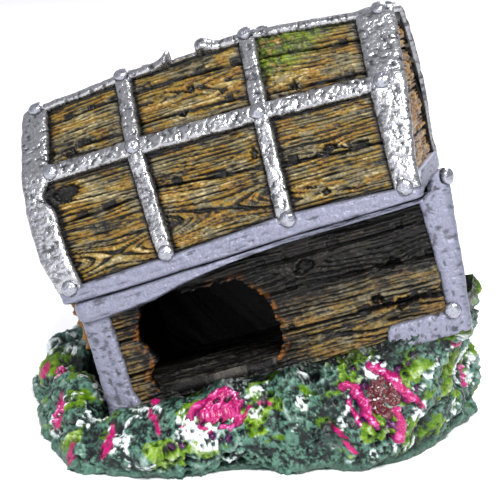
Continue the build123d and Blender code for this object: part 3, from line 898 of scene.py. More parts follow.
def from_tub(points):
    """Chest point to frame point, after the right end's flare and taper.

    From the end of the straight part to the right end, the sideways move grows from
    nothing to flare * w / height - taper * v / depth.
    """
    points = np.asarray(points, float)
    u, v, w = np.moveaxis(points, -1, 0)
    share = np.clip((u - STRAIGHT_TO) / (TUB_LENGTH - STRAIGHT_TO), 0, 1.1)
    shift = share * (END_FLARE * w / TUB_HEIGHT - END_TAPER * v / TUB_DEPTH)
    return from_chest(np.stack([u + shift, v, w], -1))


tub_ring, tub_round = ring_skin(SKIN, TUB_LENGTH - SKIN, SKIN, TUB_DEPTH - SKIN, from_tub)
lid_ring, lid_round = ring_skin(LID_START + LID_STRAP, LID_END - LID_STRAP, LID_FRONT + LID_STRAP,
                                LID_BACK - LID_STRAP, from_lid)


BAND_FADE = 8.0


def in_front(marks, around, fade=1.0):
    """1 along the front side of a ring, fading to 0 just past its two corners."""
    return step(marks[2] - fade, marks[2] + 1, around) * step(marks[3] + fade, marks[3] - 1, around)


def lid_band_edge(around, level, drop):
    """Level of an edge of the lid's band, less its sag in front."""
    along = around - lid_round[2] + LID_START + LID_STRAP
    return level - drop(along) * in_front(lid_round, around, BAND_FADE)


lid_band = closed_strap("lid_rim_band", lid_ring, lid_round[-1],
                        lambda around: lid_band_edge(around, LID_BASE, seam_drop),
                        lambda around: lid_band_edge(around, LID_BASE + BAND_HEIGHT, band_drop),
                        LID_STRAP, (LID_PANEL, 0.5), 121)
finish_piece(lid_band, "lid", "silver_paint", silver_painted_shade, "lid_rim_band")

RIM_PROFILE = [(0, 25.5), (6, 25.8), (20, 26.9), (29, 29.1), (43, 31.2), (58, 32.2), (85, 32.6),
               (100, 33.0)]
RIM_BAND = 6.5


def rim_low(around):
    """Lower edge of the tub's band: the wedge in front, an even band elsewhere."""
    share = in_front(tub_round, around)
    wedge = read(RIM_PROFILE, around - tub_round[2])
    return wedge * share + (TUB_HEIGHT - RIM_BAND) * (1 - share)


def rim_high(around):
    """Upper edge of the tub's band, which sags with the seam."""
    sag = seam_drop(around - tub_round[2] + SKIN)
    return TUB_HEIGHT - sag * in_front(tub_round, around, BAND_FADE)


def rim_thickness(around):
    """Thick and flush with the lid at the left of the front, thin at the right."""
    along = np.clip((around - tub_round[2]) / TUB_LENGTH, 0, 1)
    return SKIN + in_front(tub_round, around) * (1.9 - 2.4 * step(0.3, 0.7, along))


tub_band = closed_strap("tub_rim_band", tub_ring, tub_round[-1], rim_low, rim_high, rim_thickness,
                        TUB_WALL, 131)
finish_piece(tub_band, "base", "silver_paint", silver_painted_shade, "tub_rim_band")

# %% [markdown]
# ## The front of the tub and its ragged hole
#
# The hole that fish swim through looks broken, not drilled. The front is two matching
# grids, one carved and one flat. Squares that fall inside the outline are left out, the
# points along the gap are pulled onto the outline, and a wall joins the two grids
# wherever a square has no neighbour. That makes one closed board with a hole.

# %% The outline of the hole
HOLE = [(16.3, 25.5), (19.7, 27.4), (24.4, 27.7), (31.5, 26.8), (38.3, 26.8), (45.0, 25.7),
        (49.8, 20.0), (51.4, 12.6), (51.2, 6.9), (48, 2.9), (43.1, 1.4), (36.8, 0.8), (29.7, 0.4),
        (21.4, 0.8), (14.9, 3), (13.8, 6.7), (16.8, 10.9), (15.3, 15.2), (13.1, 18), (14.8, 21.7)]


def ragged_outline(points, spacing, depth, seed):
    """Outline cut into short steps, each pushed in or out by noise, as broken wood is."""
    loop = np.array(points + points[:1], float)
    length = np.concatenate([[0], np.hypot(*np.diff(loop, axis=0).T).cumsum()])
    marks = np.linspace(0, length[-1], int(length[-1] / spacing), endpoint=False)
    dense = np.stack([np.interp(marks, length, loop[:, k]) for k in (0, 1)], -1)
    run = np.roll(dense, -1, 0) - np.roll(dense, 1, 0)
    out = np.stack([run[:, 1], -run[:, 0]], -1) / np.hypot(*run.T)[:, None]
    return dense + out * depth * (fractal(marks / 1.6, seed, seed=seed, octaves=3)[:, None] - 0.5)


def inside(outline, x, y):
    """Even-odd rule: how often a ray to the right crosses the outline."""
    odd = np.zeros(x.shape, bool)
    for (x0, y0), (x1, y1) in zip(outline, np.roll(outline, -1, 0)):
        crosses = (y0 > y) != (y1 > y)
        at = x0 + (y - y0) * (x1 - x0) / (y1 - y0 if y1 != y0 else 1)
        odd ^= crosses & (x < at)
    return odd


def nearest(line, x, y):
    """Nearest place on a line of points to each point, and how far it is."""
    best = np.full(x.shape, FAR_AWAY)
    found = np.zeros(x.shape + (2,))
    for start, end in zip(line[:-1], line[1:]):
        run = end - start
        share = np.clip(((x - start[0]) * run[0] + (y - start[1]) * run[1]) / (run @ run), 0, 1)
        place = start + share[..., None] * run
        away = np.hypot(x - place[..., 0], y - place[..., 1])
        closer = away < best
        best = np.where(closer, away, best)
        found = np.where(closer[..., None], place, found)
    return found, best


def broken_board(name, front, back, keep, paint, back_paint):
    """Closed board from two grids: kept squares in front and behind, walls round every gap."""
    quads = grid_faces(*front.shape[:2])[keep.ravel()]
    count = front.shape[0] * front.shape[1]
    edges = np.stack([quads, np.roll(quads, -1, 1)], -1).reshape(-1, 2)
    lone = ~np.isin(edges[:, 0] * count + edges[:, 1], edges[:, 1] * count + edges[:, 0])
    walls = np.concatenate([edges[lone][:, ::-1], edges[lone] + count], 1)
    quads = np.concatenate([quads, quads[:, ::-1] + count, walls])
    points = np.concatenate([front.reshape(-1, 3), back.reshape(-1, 3)])
    colours = np.concatenate([paint.reshape(-1, 3), back_paint.reshape(-1, 3)])
    used, renumbered = np.unique(quads, return_inverse=True)
    return build(name, points[used], renumbered.reshape(-1, 4), (), colours[used])


# %% The front boards
FRONT_COLUMNS, FRONT_ROWS = 360, 126
SPLINTER_STEP, SPLINTER_DEPTH = 0.5, 1.5
BAND_COVER, UNDER_BAND = 4.2, 0.9
BARE_RESIN = (0.24, 0.090, 0.016)
u, w = np.meshgrid(np.linspace(SKIN, TUB_LENGTH - SKIN, FRONT_COLUMNS),
                   np.linspace(0, TUB_HEIGHT - 0.3, FRONT_ROWS))
hole = ragged_outline(HOLE, SPLINTER_STEP, SPLINTER_DEPTH, 51)
gone = inside(hole, u, w)
keep = ~(gone[:-1, :-1] | gone[1:, :-1] | gone[1:, 1:] | gone[:-1, 1:])
on_hole, from_hole = nearest(np.vstack([hole, hole[:1]]), u, w)
touched = np.zeros(u.shape, bool)
for rows in (slice(None, -1), slice(1, None)):
    for columns in (slice(None, -1), slice(1, None)):
        touched[rows, columns] |= ~keep
u, w = np.where(touched, on_hole[..., 0], u), np.where(touched, on_hole[..., 1], w)
from_hole = np.where(touched, 0, from_hole)

seams = [[(0, 8.2), (14, 9.0), (50, 10), (100, 9.0)], [(0, 17.5), (50, 20.5), (100, 19.0)],
         [(0, 27.0), (100, 28)]]
knots = [(62, 24.8, 1.8, 5), (83, 20, 2.0, 5), (83, 9.5, 1.6, 7), (66, 6, 1.5, 9)]
holes = [(62, 24.8, 2.3, 1.5), (83.3, 19.9, 1.7, 1.3), (83.4, 9.1, 1.6, 1.2), (77.4, 12.1, 1.5, 1.1)]
height, catch = carve(u, w, seams, knots, holes, 53, spacing=1.15)
torn_edge = np.exp(-(from_hole / 1.1) ** 2)
height = 1.25 * height - 0.4 * torn_edge + 0.5 * (fractal(u / 3, w / 1.2, seed=57, octaves=3) - 0.5)
height = np.where(w > TUB_HEIGHT - BAND_COVER, np.minimum(height, 0) - UNDER_BAND, height)
# painted light and shadow: the front is painted dark and grey as the shadow under the lid, and lighter at the
# lower right and left of the hole, where that shadow ends
lit_lower_right = step(46, 60, u) * step(19, 9, w - 0.03 * u)
lit_beside_hole = step(15, 11, u) * step(31, 24, w)
light = 0.38 + 0.47 * lit_lower_right + 0.38 * lit_beside_hole
colour = ochre_paint(u, w, catch, light, 53)
colour = greyed(colour, (1.0, 0.93, 0.80), 0.55 - 0.35 * lit_lower_right - 0.2 * lit_beside_hole)
right_of_hole = step(44, 49, u) * step(24, 17, w)
left_of_hole = step(24, 16, u) * step(26, 18, w)
glow_here = np.clip(np.maximum(right_of_hole, left_of_hole) + 0.25 * step(30, 44, u), 0, 1)
blotches = step(0.42, 0.6, fractal(u / 1.4, w / 1.4, seed=59))
rim_glow = blotches * step(1.9, 0.5, from_hole) * glow_here
colour = mix(colour, BARE_RESIN, 0.8 * rim_glow * (w > 3))
front_face = from_tub(np.stack([u, SKIN - height, w], -1))
rear_face = from_tub(np.stack([u, np.full(u.shape, SKIN + TUB_WALL), w], -1))
tub_front = broken_board("tub_front_boards", front_face, rear_face, keep, colour, colour * BEHIND_SHADE)
finish_piece(tub_front, "base", "tub_wood_resin", tub_wood, "tub_front_wall")

# %% [markdown]
# ## The other sides of the tub, and its floor
#
# The ends, the back and the floor are plain boards carved with the same function. The
# floor shows through the hole as a grey sill, so its paint is drawn towards grey.

# %% Ends, back and floor
def tub_board(name, node, corner, along, up, out, length, rise, thickness, seed, shade, pitch=0.42, pale=0.0):
    """Carved board: corner + s * along + t * up + relief * out, with a flat back."""
    s, t = np.meshgrid(np.linspace(0, length, int(length / pitch)),
                       np.linspace(0, rise, int(rise / pitch)))
    seams = [[(0, rise * 0.3)], [(0, rise * 0.66)]]
    knots = [(length * 0.3, rise * 0.5, 2.0, 8)]
    holes = [(length * 0.7, rise * 0.45, 1.6, 1.2)]
    height, catch = carve(s, t, seams, knots, holes, seed)
    colour = greyed(ochre_paint(s, t, catch, shade, seed), (1.20, 1.152, 1.08), pale)
    corner, along, up, out = [np.array(a, float) for a in (corner, along, up, out)]
    place = corner + s[..., None] * along + t[..., None] * up + (0.9 * height)[..., None] * out
    boards = slab(name, from_tub(place), TILT @ (-out * thickness), colour)
    finish_piece(boards, "base", "tub_wood_resin", tub_wood, node)


ALONG, BACKWARDS, UP = (1, 0, 0), (0, 1, 0), (0, 0, 1)
LIFT, WALL_RISE = 0.2, TUB_HEIGHT - 0.4
ACROSS_ENDS, ACROSS_BACK = TUB_DEPTH - 2 * SKIN, TUB_LENGTH - 2 * SKIN
tub_board("tub_left_end_boards", "tub_left_end", (SKIN, SKIN, LIFT), BACKWARDS, UP, (-1, 0, 0),
          ACROSS_ENDS, WALL_RISE, TUB_WALL, 61, 0.75)
tub_board("tub_right_end_boards", "tub_right_end", (TUB_LENGTH - SKIN, SKIN, LIFT), BACKWARDS, UP, ALONG,
          ACROSS_ENDS, WALL_RISE, TUB_WALL, 67, 0.75)
tub_board("tub_back_boards", "tub_back_wall", (SKIN, TUB_DEPTH - SKIN, LIFT), ALONG, UP, BACKWARDS,
          ACROSS_BACK, WALL_RISE, TUB_WALL, 71, 0.75)
FLOOR, FLOOR_INSET = 3.5, 3.0
# the floor takes half of the brush, as painted shade inside the tub
tub_board("tub_floor_boards", "tub_floor", (FLOOR_INSET, FLOOR_INSET, FLOOR), ALONG, BACKWARDS, UP,
          TUB_LENGTH - 2 * FLOOR_INSET, TUB_DEPTH - 2 * FLOOR_INSET, FLOOR, 73, 0.5, pitch=0.5, pale=0.9)

# %% [markdown]
# ## Corner straps and feet of the tub
#
# The tub's straps lie on the ring that goes round it. The front left one swells into a
# rounded foot where it meets the coral. The front right one stands up above the rim as a
# small lug, and at its foot a flat bar runs back to the left along the bottom edge.

# %% Upright straps at the corners
CORNER_STRAP = 6.5
UPRIGHT = swapped(tub_ring)


def corner_strap(name, corner, reach_low, reach_high, bottom, seed, swell=0.0, top=TUB_HEIGHT - 1.5):
    """Upright strap that folds round a corner of the tub; swell widens its foot.

    The reaches are its widths before and past the corner. The first may be a list of
    (height, width) pairs.
    """
    w = np.arange(bottom, top, STRAP_STEP)
    if isinstance(reach_low, list):
        reach_low = read(reach_low, w)
    wider = swell * np.exp(-((w - bottom - 3.2) / 3.0) ** 2)
    piece = strap(name, UPRIGHT, w, corner - reach_low - wider * 0.3, corner + reach_high + wider,
                  SKIN + 0.25 * wider, seed, ends=3.0, tone=LAVENDER_SHADE)
    finish_piece(piece, "base", "silver_paint", silver_painted_shade, name)


back_left, front_left, front_right, back_right = tub_round[1:5]
corner_strap("tub_corner_strap_front_left", front_left, 1.5, 7.0, -2.2, 141, swell=1.4)
LUG = 5.0
corner_strap("tub_corner_strap_front_right", front_right,
             [(0, 3.8), (33, 6.4), (34.2, 5.0), (35.0, 3.3)], 3.5, -1.4, 143, top=TUB_HEIGHT + LUG)
corner_strap("tub_corner_strap_back_left", back_left, CORNER_STRAP, 2.0, -1.0, 145)
corner_strap("tub_corner_strap_back_right", back_right, 2.0, CORNER_STRAP, -1.0, 147)
FOOT_START = 76.5
foot_length = np.arange(front_left + FOOT_START, front_right + 1.5, STRAP_STEP)
foot = strap("tub_foot_strap", tub_ring, foot_length, -2.0, 4.5, SKIN + 0.1, 149, ends=1.6, tone=LAVENDER_SHADE)
finish_piece(foot, "base", "silver_paint", silver_painted_shade, "tub_foot_strap")

# %% [markdown]
# Where the lid meets the tub at the left, the end boards break out past the strap in a
# row of small amber splinters. They are made as one very uneven strap in the wood's paint.

# %% Splinters at the left corner
sliver = np.arange(18.0, 33.0, STRAP_STEP)
ragged_edge = front_left - CORNER_STRAP - 1.5 * noise(sliver / 2, 0, seed=153)
splinter_height = 1.6 + 2.4 * fractal(sliver / 2.2, 0, seed=155, octaves=3)
splinters = strap("tub_left_splinters", UPRIGHT, sliver, ragged_edge, front_left - 1.2, splinter_height, 154,
                  dents=1.6, grain=(0.9, 1.6), ends=2.0, tone=AMBER, side=0.6)
finish_piece(splinters, "base", "tub_wood_resin", tub_wood)

# %% [markdown]
# ## Rivets
#
# Every crossing of two straps has a domed rivet. All rivets of one body are one mesh: a
# single dome of rings is copied to each place with its own direction, as one array.

# %% Rivet domes
RIVET, DOME_HEIGHT = 2.25, 1.5
RINGS, SPOKES = 9, 22
RIVET_SILVER = (0.32, 0.33, 0.37)


def rivets(name, body, places, node, seed):
    """Domes r = R * sin(a), h = H * cos(a)^0.8 set on (centre, across, along, out) frames."""
    angle = np.linspace(0.06, 1, RINGS)[:, None] * np.pi / 2
    spin = np.linspace(0, 2 * np.pi, SPOKES, endpoint=False)[None, :]
    radius, rise = RIVET * np.sin(angle), DOME_HEIGHT * np.cos(angle) ** 0.8
    x, y = radius * np.cos(spin), radius * np.sin(spin)
    h = np.broadcast_to(rise, x.shape)
    x, y, h = [np.concatenate([a, a[-1:]]) for a in (x, y, h)]
    h[-1] = -1.0
    centre, across, along, out = [np.array(a) for a in zip(*places)]
    which = np.arange(len(places))[:, None, None]
    wobble = 0.30 * (noise(x[None] + 7 * which, y[None], seed=seed) - 0.5)
    centre, across, along, out = [a[:, None, None, :] for a in (centre, across, along, out)]
    points = centre + x[..., None] * across + y[..., None] * along + (h + wobble)[..., None] * out
    per = (RINGS + 1) * SPOKES
    faces = (grid_faces(RINGS + 1, SPOKES, wrap_columns=True)[None] + per * which).reshape(-1, 4)
    crowns = [np.arange(SPOKES) + k * per for k in range(len(places))]
    soles = [(crown + per - SPOKES)[::-1] for crown in crowns]
    caps = [cap for pair in zip(crowns, soles) for cap in pair]
    # the foot of each dome and its sole are painted darker, as painted shade where the rivet meets the strap
    dark = np.broadcast_to(step(0.25, -0.3, h / DOME_HEIGHT), points.shape[:-1])
    piece = build(name, points, faces, caps, mix(RIVET_SILVER, TARNISH_AND_SHADE, dark))
    finish_piece(piece, body, "silver_paint", silver, node)


SMALL_MOVE = 0.2


def on_skin(skin, first, second, height):
    """Place on a skin with its three directions, from small steps along and across it."""
    first, second = np.float64(first), np.float64(second)
    here = skin(first, second, height)
    across = skin(first + SMALL_MOVE, second, height) - here
    out = skin(first, second, height + SMALL_MOVE) - here
    across, out = across / np.linalg.norm(across), out / np.linalg.norm(out)
    return here, across, np.cross(out, across), out


# each hoop's rivets at the band, the knee and the crown, which the back repeats
HOOP_CENTRES = [(0.6, 4.5, 0.9), (26.7, 26.7, 26.7), (62.4, 61.2, 61.7), (93.6, 93.4, 95.4)]
BELOW_BAND, FIRST_BELOW = 2.3, 2.2
levels = [LID_MARKS[1] - BELOW_BAND, *LID_MARKS[2:6], LID_MARKS[6] + BELOW_BAND]
first_levels = [levels[0] - FIRST_BELOW, *levels[1:]]
lid_places = [on_skin(lid_skin, centre, level, LID_STRAP - 0.1)
              for number, centres in enumerate(HOOP_CENTRES)
              for centre, level in zip(centres + centres[::-1], levels if number else first_levels)]
rivets("lid_rivets", "lid", lid_places, "lid_rivets", 151)
tub_spots = [(front_left + 3.6, 29.5), (front_right + 0.3, 37.6), (front_right - 3.0, 4.4),
             (back_left - 3.2, 31.5), (back_right + 3.2, 31.5)]
tub_places = [on_skin(tub_ring, around, level, SKIN - 0.1) for around, level in tub_spots]
rivets("tub_rivets", "base", tub_places, "tub_rivets", 157)

# %% [markdown]
# ## The coral rock
#
# The rock is one lump that holds the chest in a tilted seat. It is worked out as a skin
# round the chest: from each point where the tub meets the rock, a line runs out over a
# shoulder, down past a waist and in to the foot. Four such lines are drawn, for the front,
# the left bank, the back and the undercut right, and blended round the rock.

# %% Shape of the rock without its texture
SEAT = np.array([50.0, 32.0])
FOOT = [(-21.5, 33.5), (-17, 15), (-13.8, -1), (-7.8, -10), (0.5, -22), (11.7, -23.5), (24.4, -19),
        (37.3, -16), (58, -17), (76.5, -12.5), (88.7, 3), (96.0, 20), (99.5, 35.6), (97, 52), (90, 64),
        (80, 71), (50, 74), (20, 74), (0, 73), (-16, 66), (-24, 53)]
# each row of a line is (share of the way out, share of the seat's height, bulge in mm)
DOWN_MARKS = (0, 0.16, 0.38, 0.62, 0.86, 0.95, 1)
FRONT_LINE = [(0, 1, -1.5), (0.40, 0.97, 0.5), (0.80, 0.72, 1.6), (1.0, 0.40, 3.0), (1.0, 0.10, 1.8),
              (1.0, 0.04, 1.2), (0.98, 0, 0)]
LEFT_LINE = [(0, 1, -1.5), (0.22, 0.55, 0), (0.60, 1.7, -1.5), (0.90, 1.45, -2.0), (0.98, 0.24, -0.5),
             (1.0, 0.08, 0.4), (0.98, 0, 0)]
BACK_LINE = [(0, 1, -1.5), (0.35, 1.0, 0.5), (0.80, 0.80, 1.0), (1.0, 0.45, 1.2), (1.0, 0.10, 0.8),
             (1.0, 0.04, 0.6), (0.98, 0, 0)]
RIGHT_LINE = [(-0.1, 1, -4.0), (0.0, 0.90, -3.0), (0.45, 0.62, -2.0), (0.90, 0.38, 0.5), (1.0, 0.12, 1.0),
              (1.0, 0.04, 1.0), (0.98, 0, 0)]
INLET_X, INLET_Z, SEAL_FACE = 42.4, 11.0, 40.2
LEFT_BANK, LEFT_BANK_BEHIND = 7.5, 3.5


def seat_edge(angle, share=1.0, level=None):
    """Where the tub's wall meets the rock: the edge of a rectangle, or a share of the way to it.

    The height there follows the lie of the chest, unless a level in chest lengths is given.
    """
    reach = np.minimum(TUB_LENGTH / 2 / np.maximum(np.abs(np.cos(angle)), 1e-6),
                       TUB_DEPTH / 2 / np.maximum(np.abs(np.sin(angle)), 1e-6))
    lift = 0.6 + 5.0 * step(0.3, 0.8, np.sin(angle)) - 1.4 * step(0.75, 0.95, np.cos(angle))
    lift = lift if level is None else np.full(lift.shape, level)
    return from_chest(np.stack([SEAT[0] + share * reach * np.cos(angle),
                                SEAT[1] + share * reach * np.sin(angle), lift], -1))


foot_points = np.array(FOOT) + CORNER[:2]
seat_centre = from_chest((*SEAT, 0))[:2]
foot_angle = np.unwrap(np.arctan2(*(foot_points - seat_centre).T[::-1]))
foot_reach = np.hypot(*(foot_points - seat_centre).T)
closed_angle = np.append(foot_angle, foot_angle[0] + 2 * np.pi)
closed_reach = np.append(foot_reach, foot_reach[0])
BLUR = ((-0.16, 0.1), (-0.08, 0.2), (0, 0.4), (0.08, 0.2), (0.16, 0.1))


def foot_edge(angle_out):
    """Outline on the ground: reach by direction between the chosen points, rounded off.

    Blur is (turn, weight) pairs, and the reach is the weighted mean over those turns.
    """
    total = 0.0
    for shift, weight in BLUR:
        turned = (angle_out + shift - foot_angle[0]) % (2 * np.pi) + foot_angle[0]
        total = total + weight * np.interp(turned, closed_angle, closed_reach)
    return total


def rock(angle, down):
    """Point of the smooth rock: angle round the seat, and 0 at the tub to 1 at the foot."""
    angle, down = np.broadcast_arrays(np.asarray(angle, float), down)
    seat = seat_edge(angle)
    outward = np.arctan2(seat[..., 1] - seat_centre[1], seat[..., 0] - seat_centre[0])
    reach = foot_edge(outward)
    direction = np.stack([np.cos(outward), np.sin(outward)], -1)
    ground = seat_centre + reach[..., None] * direction
    left, right = step(0.72, 0.93, -np.cos(angle)), step(0.74, 0.92, np.cos(angle))
    back = (1 - left - right) * step(-0.2, 0.2, np.sin(angle))
    lines = np.array([FRONT_LINE, LEFT_LINE, BACK_LINE, RIGHT_LINE])
    sampled = [[np.interp(down, DOWN_MARKS, line[:, k]) for k in range(3)] for line in lines]
    weights = [1 - left - right - back, left, back, right]
    along, rise, bulge = [sum(weight * row[k] for weight, row in zip(weights, sampled)) for k in range(3)]
    flat = seat[..., :2] + (ground - seat[..., :2]) * along[..., None] + bulge[..., None] * direction
    bank = LEFT_BANK + LEFT_BANK_BEHIND * step(-10, 25, flat[..., 1])
    tall = seat[..., 2] * (1 - left) + left * bank
    return np.concatenate([flat, (tall * rise)[..., None]], -1)


print("foot of the rock reaches", foot_reach.round(0), "mm")

# %% [markdown]
# ## The coral's texture
#
# The coral is a net of ridges round small pits. A jittered point in every cell of a
# lattice gives two distances: where the nearest two are equal there is a ridge, and near
# a point there is a pit. The relief is pushed out along the smooth rock's own normal, and
# the paint follows it: black in the pits, then teal, moss green and a white dry brush.

# %% Relief of coral
def surface_normal(points):
    """Unit normal of a grid: cross product of its steps down and round, facing out."""
    down = np.gradient(points, axis=0)
    around = (np.roll(points, -1, 1) - np.roll(points, 1, 1)) / 2
    normal = np.cross(around, down)
    return normal / np.maximum(np.linalg.norm(normal, axis=-1, keepdims=True), 1e-9)


CORAL_SEED = 201
LUMP_SIZE, LUMP_HEIGHT = 9, 9.0


def coral_lumps(points):
    """Broad rise and fall of the rock, as a share of the lump height."""
    x, y, z = np.moveaxis(points / LUMP_SIZE, -1, 0)
    return fractal(x + 3, y, z, CORAL_SEED + 1, octaves=2) - 0.5


def coral(points):
    """Lumps, knobs, ridges and round pits: returns the relief in mm and each part of it."""
    seed = CORAL_SEED
    x, y, z = np.moveaxis(points, -1, 0)
    bend = 1.6 * (fractal(x / 3.5, y / 3.5, z / 3.5, seed, octaves=2) - 0.5)
    lumps = coral_lumps(points)
    first, second = cells((x + bend) / 3.9, (y - bend) / 3.9, (z + bend) / 3.9, seed + 2)
    tiny_first, tiny_second = cells((x - bend) / 1.7, (y + bend) / 1.7, z / 1.7, seed + 3)
    where = fractal(x / 8, y / 8 + 2, z / 8, seed + 4, octaves=2)
    net = np.exp(-((second - first) / 0.16) ** 2) * step(0.52, 0.62, where)
    fine_net = np.exp(-((tiny_second - tiny_first) / 0.22) ** 2) * step(0.45, 0.60, where)
    knob = np.clip(0.62 - first, 0, 1) * step(0.54, 0.44, where)
    pit = step(0.34, 0.22, first) * step(0.50, 0.56, where)
    small_pit = step(0.36, 0.22, tiny_first) * step(0.40, 0.52, noise(x / 3, y / 3, z / 3, seed + 5))
    crust = fractal(x / 1.3, y / 1.3, z / 1.3, seed + 6, octaves=3) - 0.5
    raised = LUMP_HEIGHT * lumps + 0.8 * net + 0.35 * fine_net + 1.6 * knob + 1.5 * crust
    relief = raised - 2.4 * pit - 1.0 * small_pit
    return relief, (net, fine_net, knob, pit, small_pit, crust, lumps)


TEAL, DEEP_TEAL = (0.070, 0.160, 0.118), (0.008, 0.015, 0.014)
MOSS, LIME = (0.065, 0.150, 0.003), (0.18, 0.29, 0.018)
CHALK, PIT = (0.66, 0.72, 0.72), (0.005, 0.006, 0.008)
MAGENTA, ROSE = (0.36, 0.003, 0.105), (0.60, 0.09, 0.33)
WINE, PLUM = (0.070, 0.002, 0.006), (0.075, 0.012, 0.075)
# loose brush strokes of magenta: (place across, height, slope in degrees, length, width)
STROKES = [(-63, 16, 80, 5, 1.3), (-60.5, 9, 65, 6, 1.6), (-53, 7.5, 75, 7, 2.2), (-48, 4.0, 70, 6, 1.4),
           (-38, 8.0, 65, 7, 1.6), (-26, 13.5, -50, 5, 1.2), (21, 11.0, -40, 6, 1.2), (24, 7.0, -45, 5, 1.0),
           (52, 31, -45, 6, 1.2), (42, 17, -60, 5, 1.2), (2, 18, 10, 4, 0.9)]


def coral_colours(points, down, net, fine_net, knob, pit, small_pit, crust, lumps):
    """Layers of paint, each laid where the relief and a slow noise let it touch."""
    x, y, z = np.moveaxis(points, -1, 0)
    zone = fractal(x / 8 + 9, y / 8, z / 6, 211, octaves=3)
    pale = fractal(x / 6, y / 6 + 5, z / 5, 217, octaves=3)
    high = crust + 0.18 * net + 0.10 * fine_net + 0.30 * knob + 0.35 * lumps - 0.06
    fleck = fractal(x / 0.55, y / 0.55, z / 0.55, 223, octaves=2) - 0.5
    colour = mix(DEEP_TEAL, TEAL, step(-0.10, 0.12, high + 0.9 * fleck))
    # darker in the broad hollows between lumps, as painted shade
    colour = mix(colour, DEEP_TEAL, 0.6 * step(-0.04, -0.16, lumps))
    green = step(0.53, 0.57, zone) * step(2.0, 5, z)
    colour = mix(colour, MOSS, green * step(-0.20, -0.06, high))
    colour = mix(colour, LIME, 0.8 * green * step(0.06, 0.20, high))
    white = step(0.60, 0.64, pale) * step(2, 4, z)
    colour = mix(colour, CHALK, white * step(-0.04, 0.10, high + 0.5 * fleck))
    colour = mix(colour, CHALK, 0.25 * step(0.22, 0.34, high) * step(2, 4, z))
    hollow = np.clip(pit + small_pit + step(-0.12, -0.26, high) * 0.9, 0, 1)
    colour = mix(colour, PIT, hollow * 0.95)
    # painted shade where the rock meets the tub
    seat_shade = step(0.26, 0.06, down + 0.16 * (zone - 0.5))
    colour = colour * (1 - 0.84 * seat_shade)[..., None]
    lip = step(3.2, 1.6, z + 2.4 * (zone - 0.5))
    colour = mix(colour, mix(TEAL, DEEP_TEAL, np.clip(0.35 - 1.2 * crust, 0, 1)), lip * 0.9)
    for sx, sz, slope, length, width in STROKES:
        c, s = math.cos(math.radians(slope)), math.sin(math.radians(slope))
        along, across = (x - sx) * c + (z - sz) * s, (z - sz) * c - (x - sx) * s
        wavy = across + 0.8 * (noise(along / 1.5, sx, seed=219) - 0.5)
        touch = step(1.15, 0.75, np.hypot(along / (length / 2), wavy / (width / 2 + 0.2))) * (y < 18)
        colour = mix(colour, MAGENTA, touch * (1 - 0.9 * hollow) * step(-0.3, -0.1, crust))
    return colour


# %% The rock itself
AROUND, DOWN = 900, 96
SMOOTHING_PASSES, RELIEF_LIMIT = 4, 4.0
fine_angle = np.linspace(-np.pi, np.pi, 4001)
edge = rock(fine_angle, 0.8)
pace = np.linalg.norm(np.diff(edge, axis=0), axis=1) * np.where(np.sin(fine_angle[:-1]) < 0.25, 1.0, 0.55)
marks = np.concatenate([[0], pace.cumsum()])
angles = np.interp(np.linspace(0, marks[-1], AROUND, endpoint=False), marks, fine_angle)[None, :]
downs = np.linspace(0, 1, DOWN)[:, None]
smooth_rock = rock(angles, downs)
for smoothing_pass in range(SMOOTHING_PASSES):
    middle = (smooth_rock[:-2] + smooth_rock[2:]) / 2
    smooth_rock[1:-1] = 0.5 * smooth_rock[1:-1] + 0.5 * middle
normals = surface_normal(smooth_rock)
if (normals[DOWN // 2, :, :2] * (smooth_rock[DOWN // 2, :, :2] - seat_centre)).sum() < 0:
    normals = -normals
relief, parts = coral(smooth_rock)
calm = step(0.0, 0.10, downs) * step(1.0, 0.93, downs)
relief = np.clip(relief, -RELIEF_LIMIT, RELIEF_LIMIT) * (0.25 + 0.75 * calm)
shaped = smooth_rock + relief[..., None] * normals
shaped[..., 2] = np.maximum(shaped[..., 2], 0.0)
from_inlet = np.hypot(shaped[..., 0] - INLET_X, shaped[..., 2] - INLET_Z)
recess = step(9.0, 6.5, from_inlet) * (shaped[..., 1] > 20)
shaped[..., 1] += np.minimum(SEAL_FACE - shaped[..., 1], 0) * recess
shaped[-1, :, 2] = 0
rock_paint = coral_colours(shaped, downs, *parts)
UNDER_FLOOR_SHARE, UNDER_FLOOR_LEVEL, UNSEEN = 0.95, -1.2, 0.004
under_floor = seat_edge(angles[0], UNDER_FLOOR_SHARE, UNDER_FLOOR_LEVEL)[None]
shaped = np.concatenate([under_floor, shaped])
rock_paint = np.concatenate([np.full((1, AROUND, 3), UNSEEN), rock_paint])
ring = np.arange(AROUND)
rock_faces = grid_faces(DOWN + 1, AROUND, wrap_columns=True)
rock_piece = build("coral_rock", shaped, rock_faces, [ring, (ring + DOWN * AROUND)[::-1]], rock_paint)
finish_piece(rock_piece, "base", "coral_resin", coral_paint,
             "rock_plinth", "rock_ledge", "coral_bank_left", "coral_bank_back")
print("rock spans", shaped.reshape(-1, 3).min(0).round(1), shaped.reshape(-1, 3).max(0).round(1), "mm")

# %% [markdown]
# ## Blooms
#
# Two big blooms and a few small ones sit on the coral, squeezed from the same resin and
# painted magenta. Each is a round patch that lies on the rock: petals are ridges along
# drawn strokes, eyes are small pits, and where there is neither the patch sinks into the
# rock, so only the petals show. That lets every bloom follow the rock's own lumps.

# %% Patches that lie on the rock
BLOOM_RINGS, BLOOM_SPOKES = 70, 180
BLOOM_SUNK = 1.4


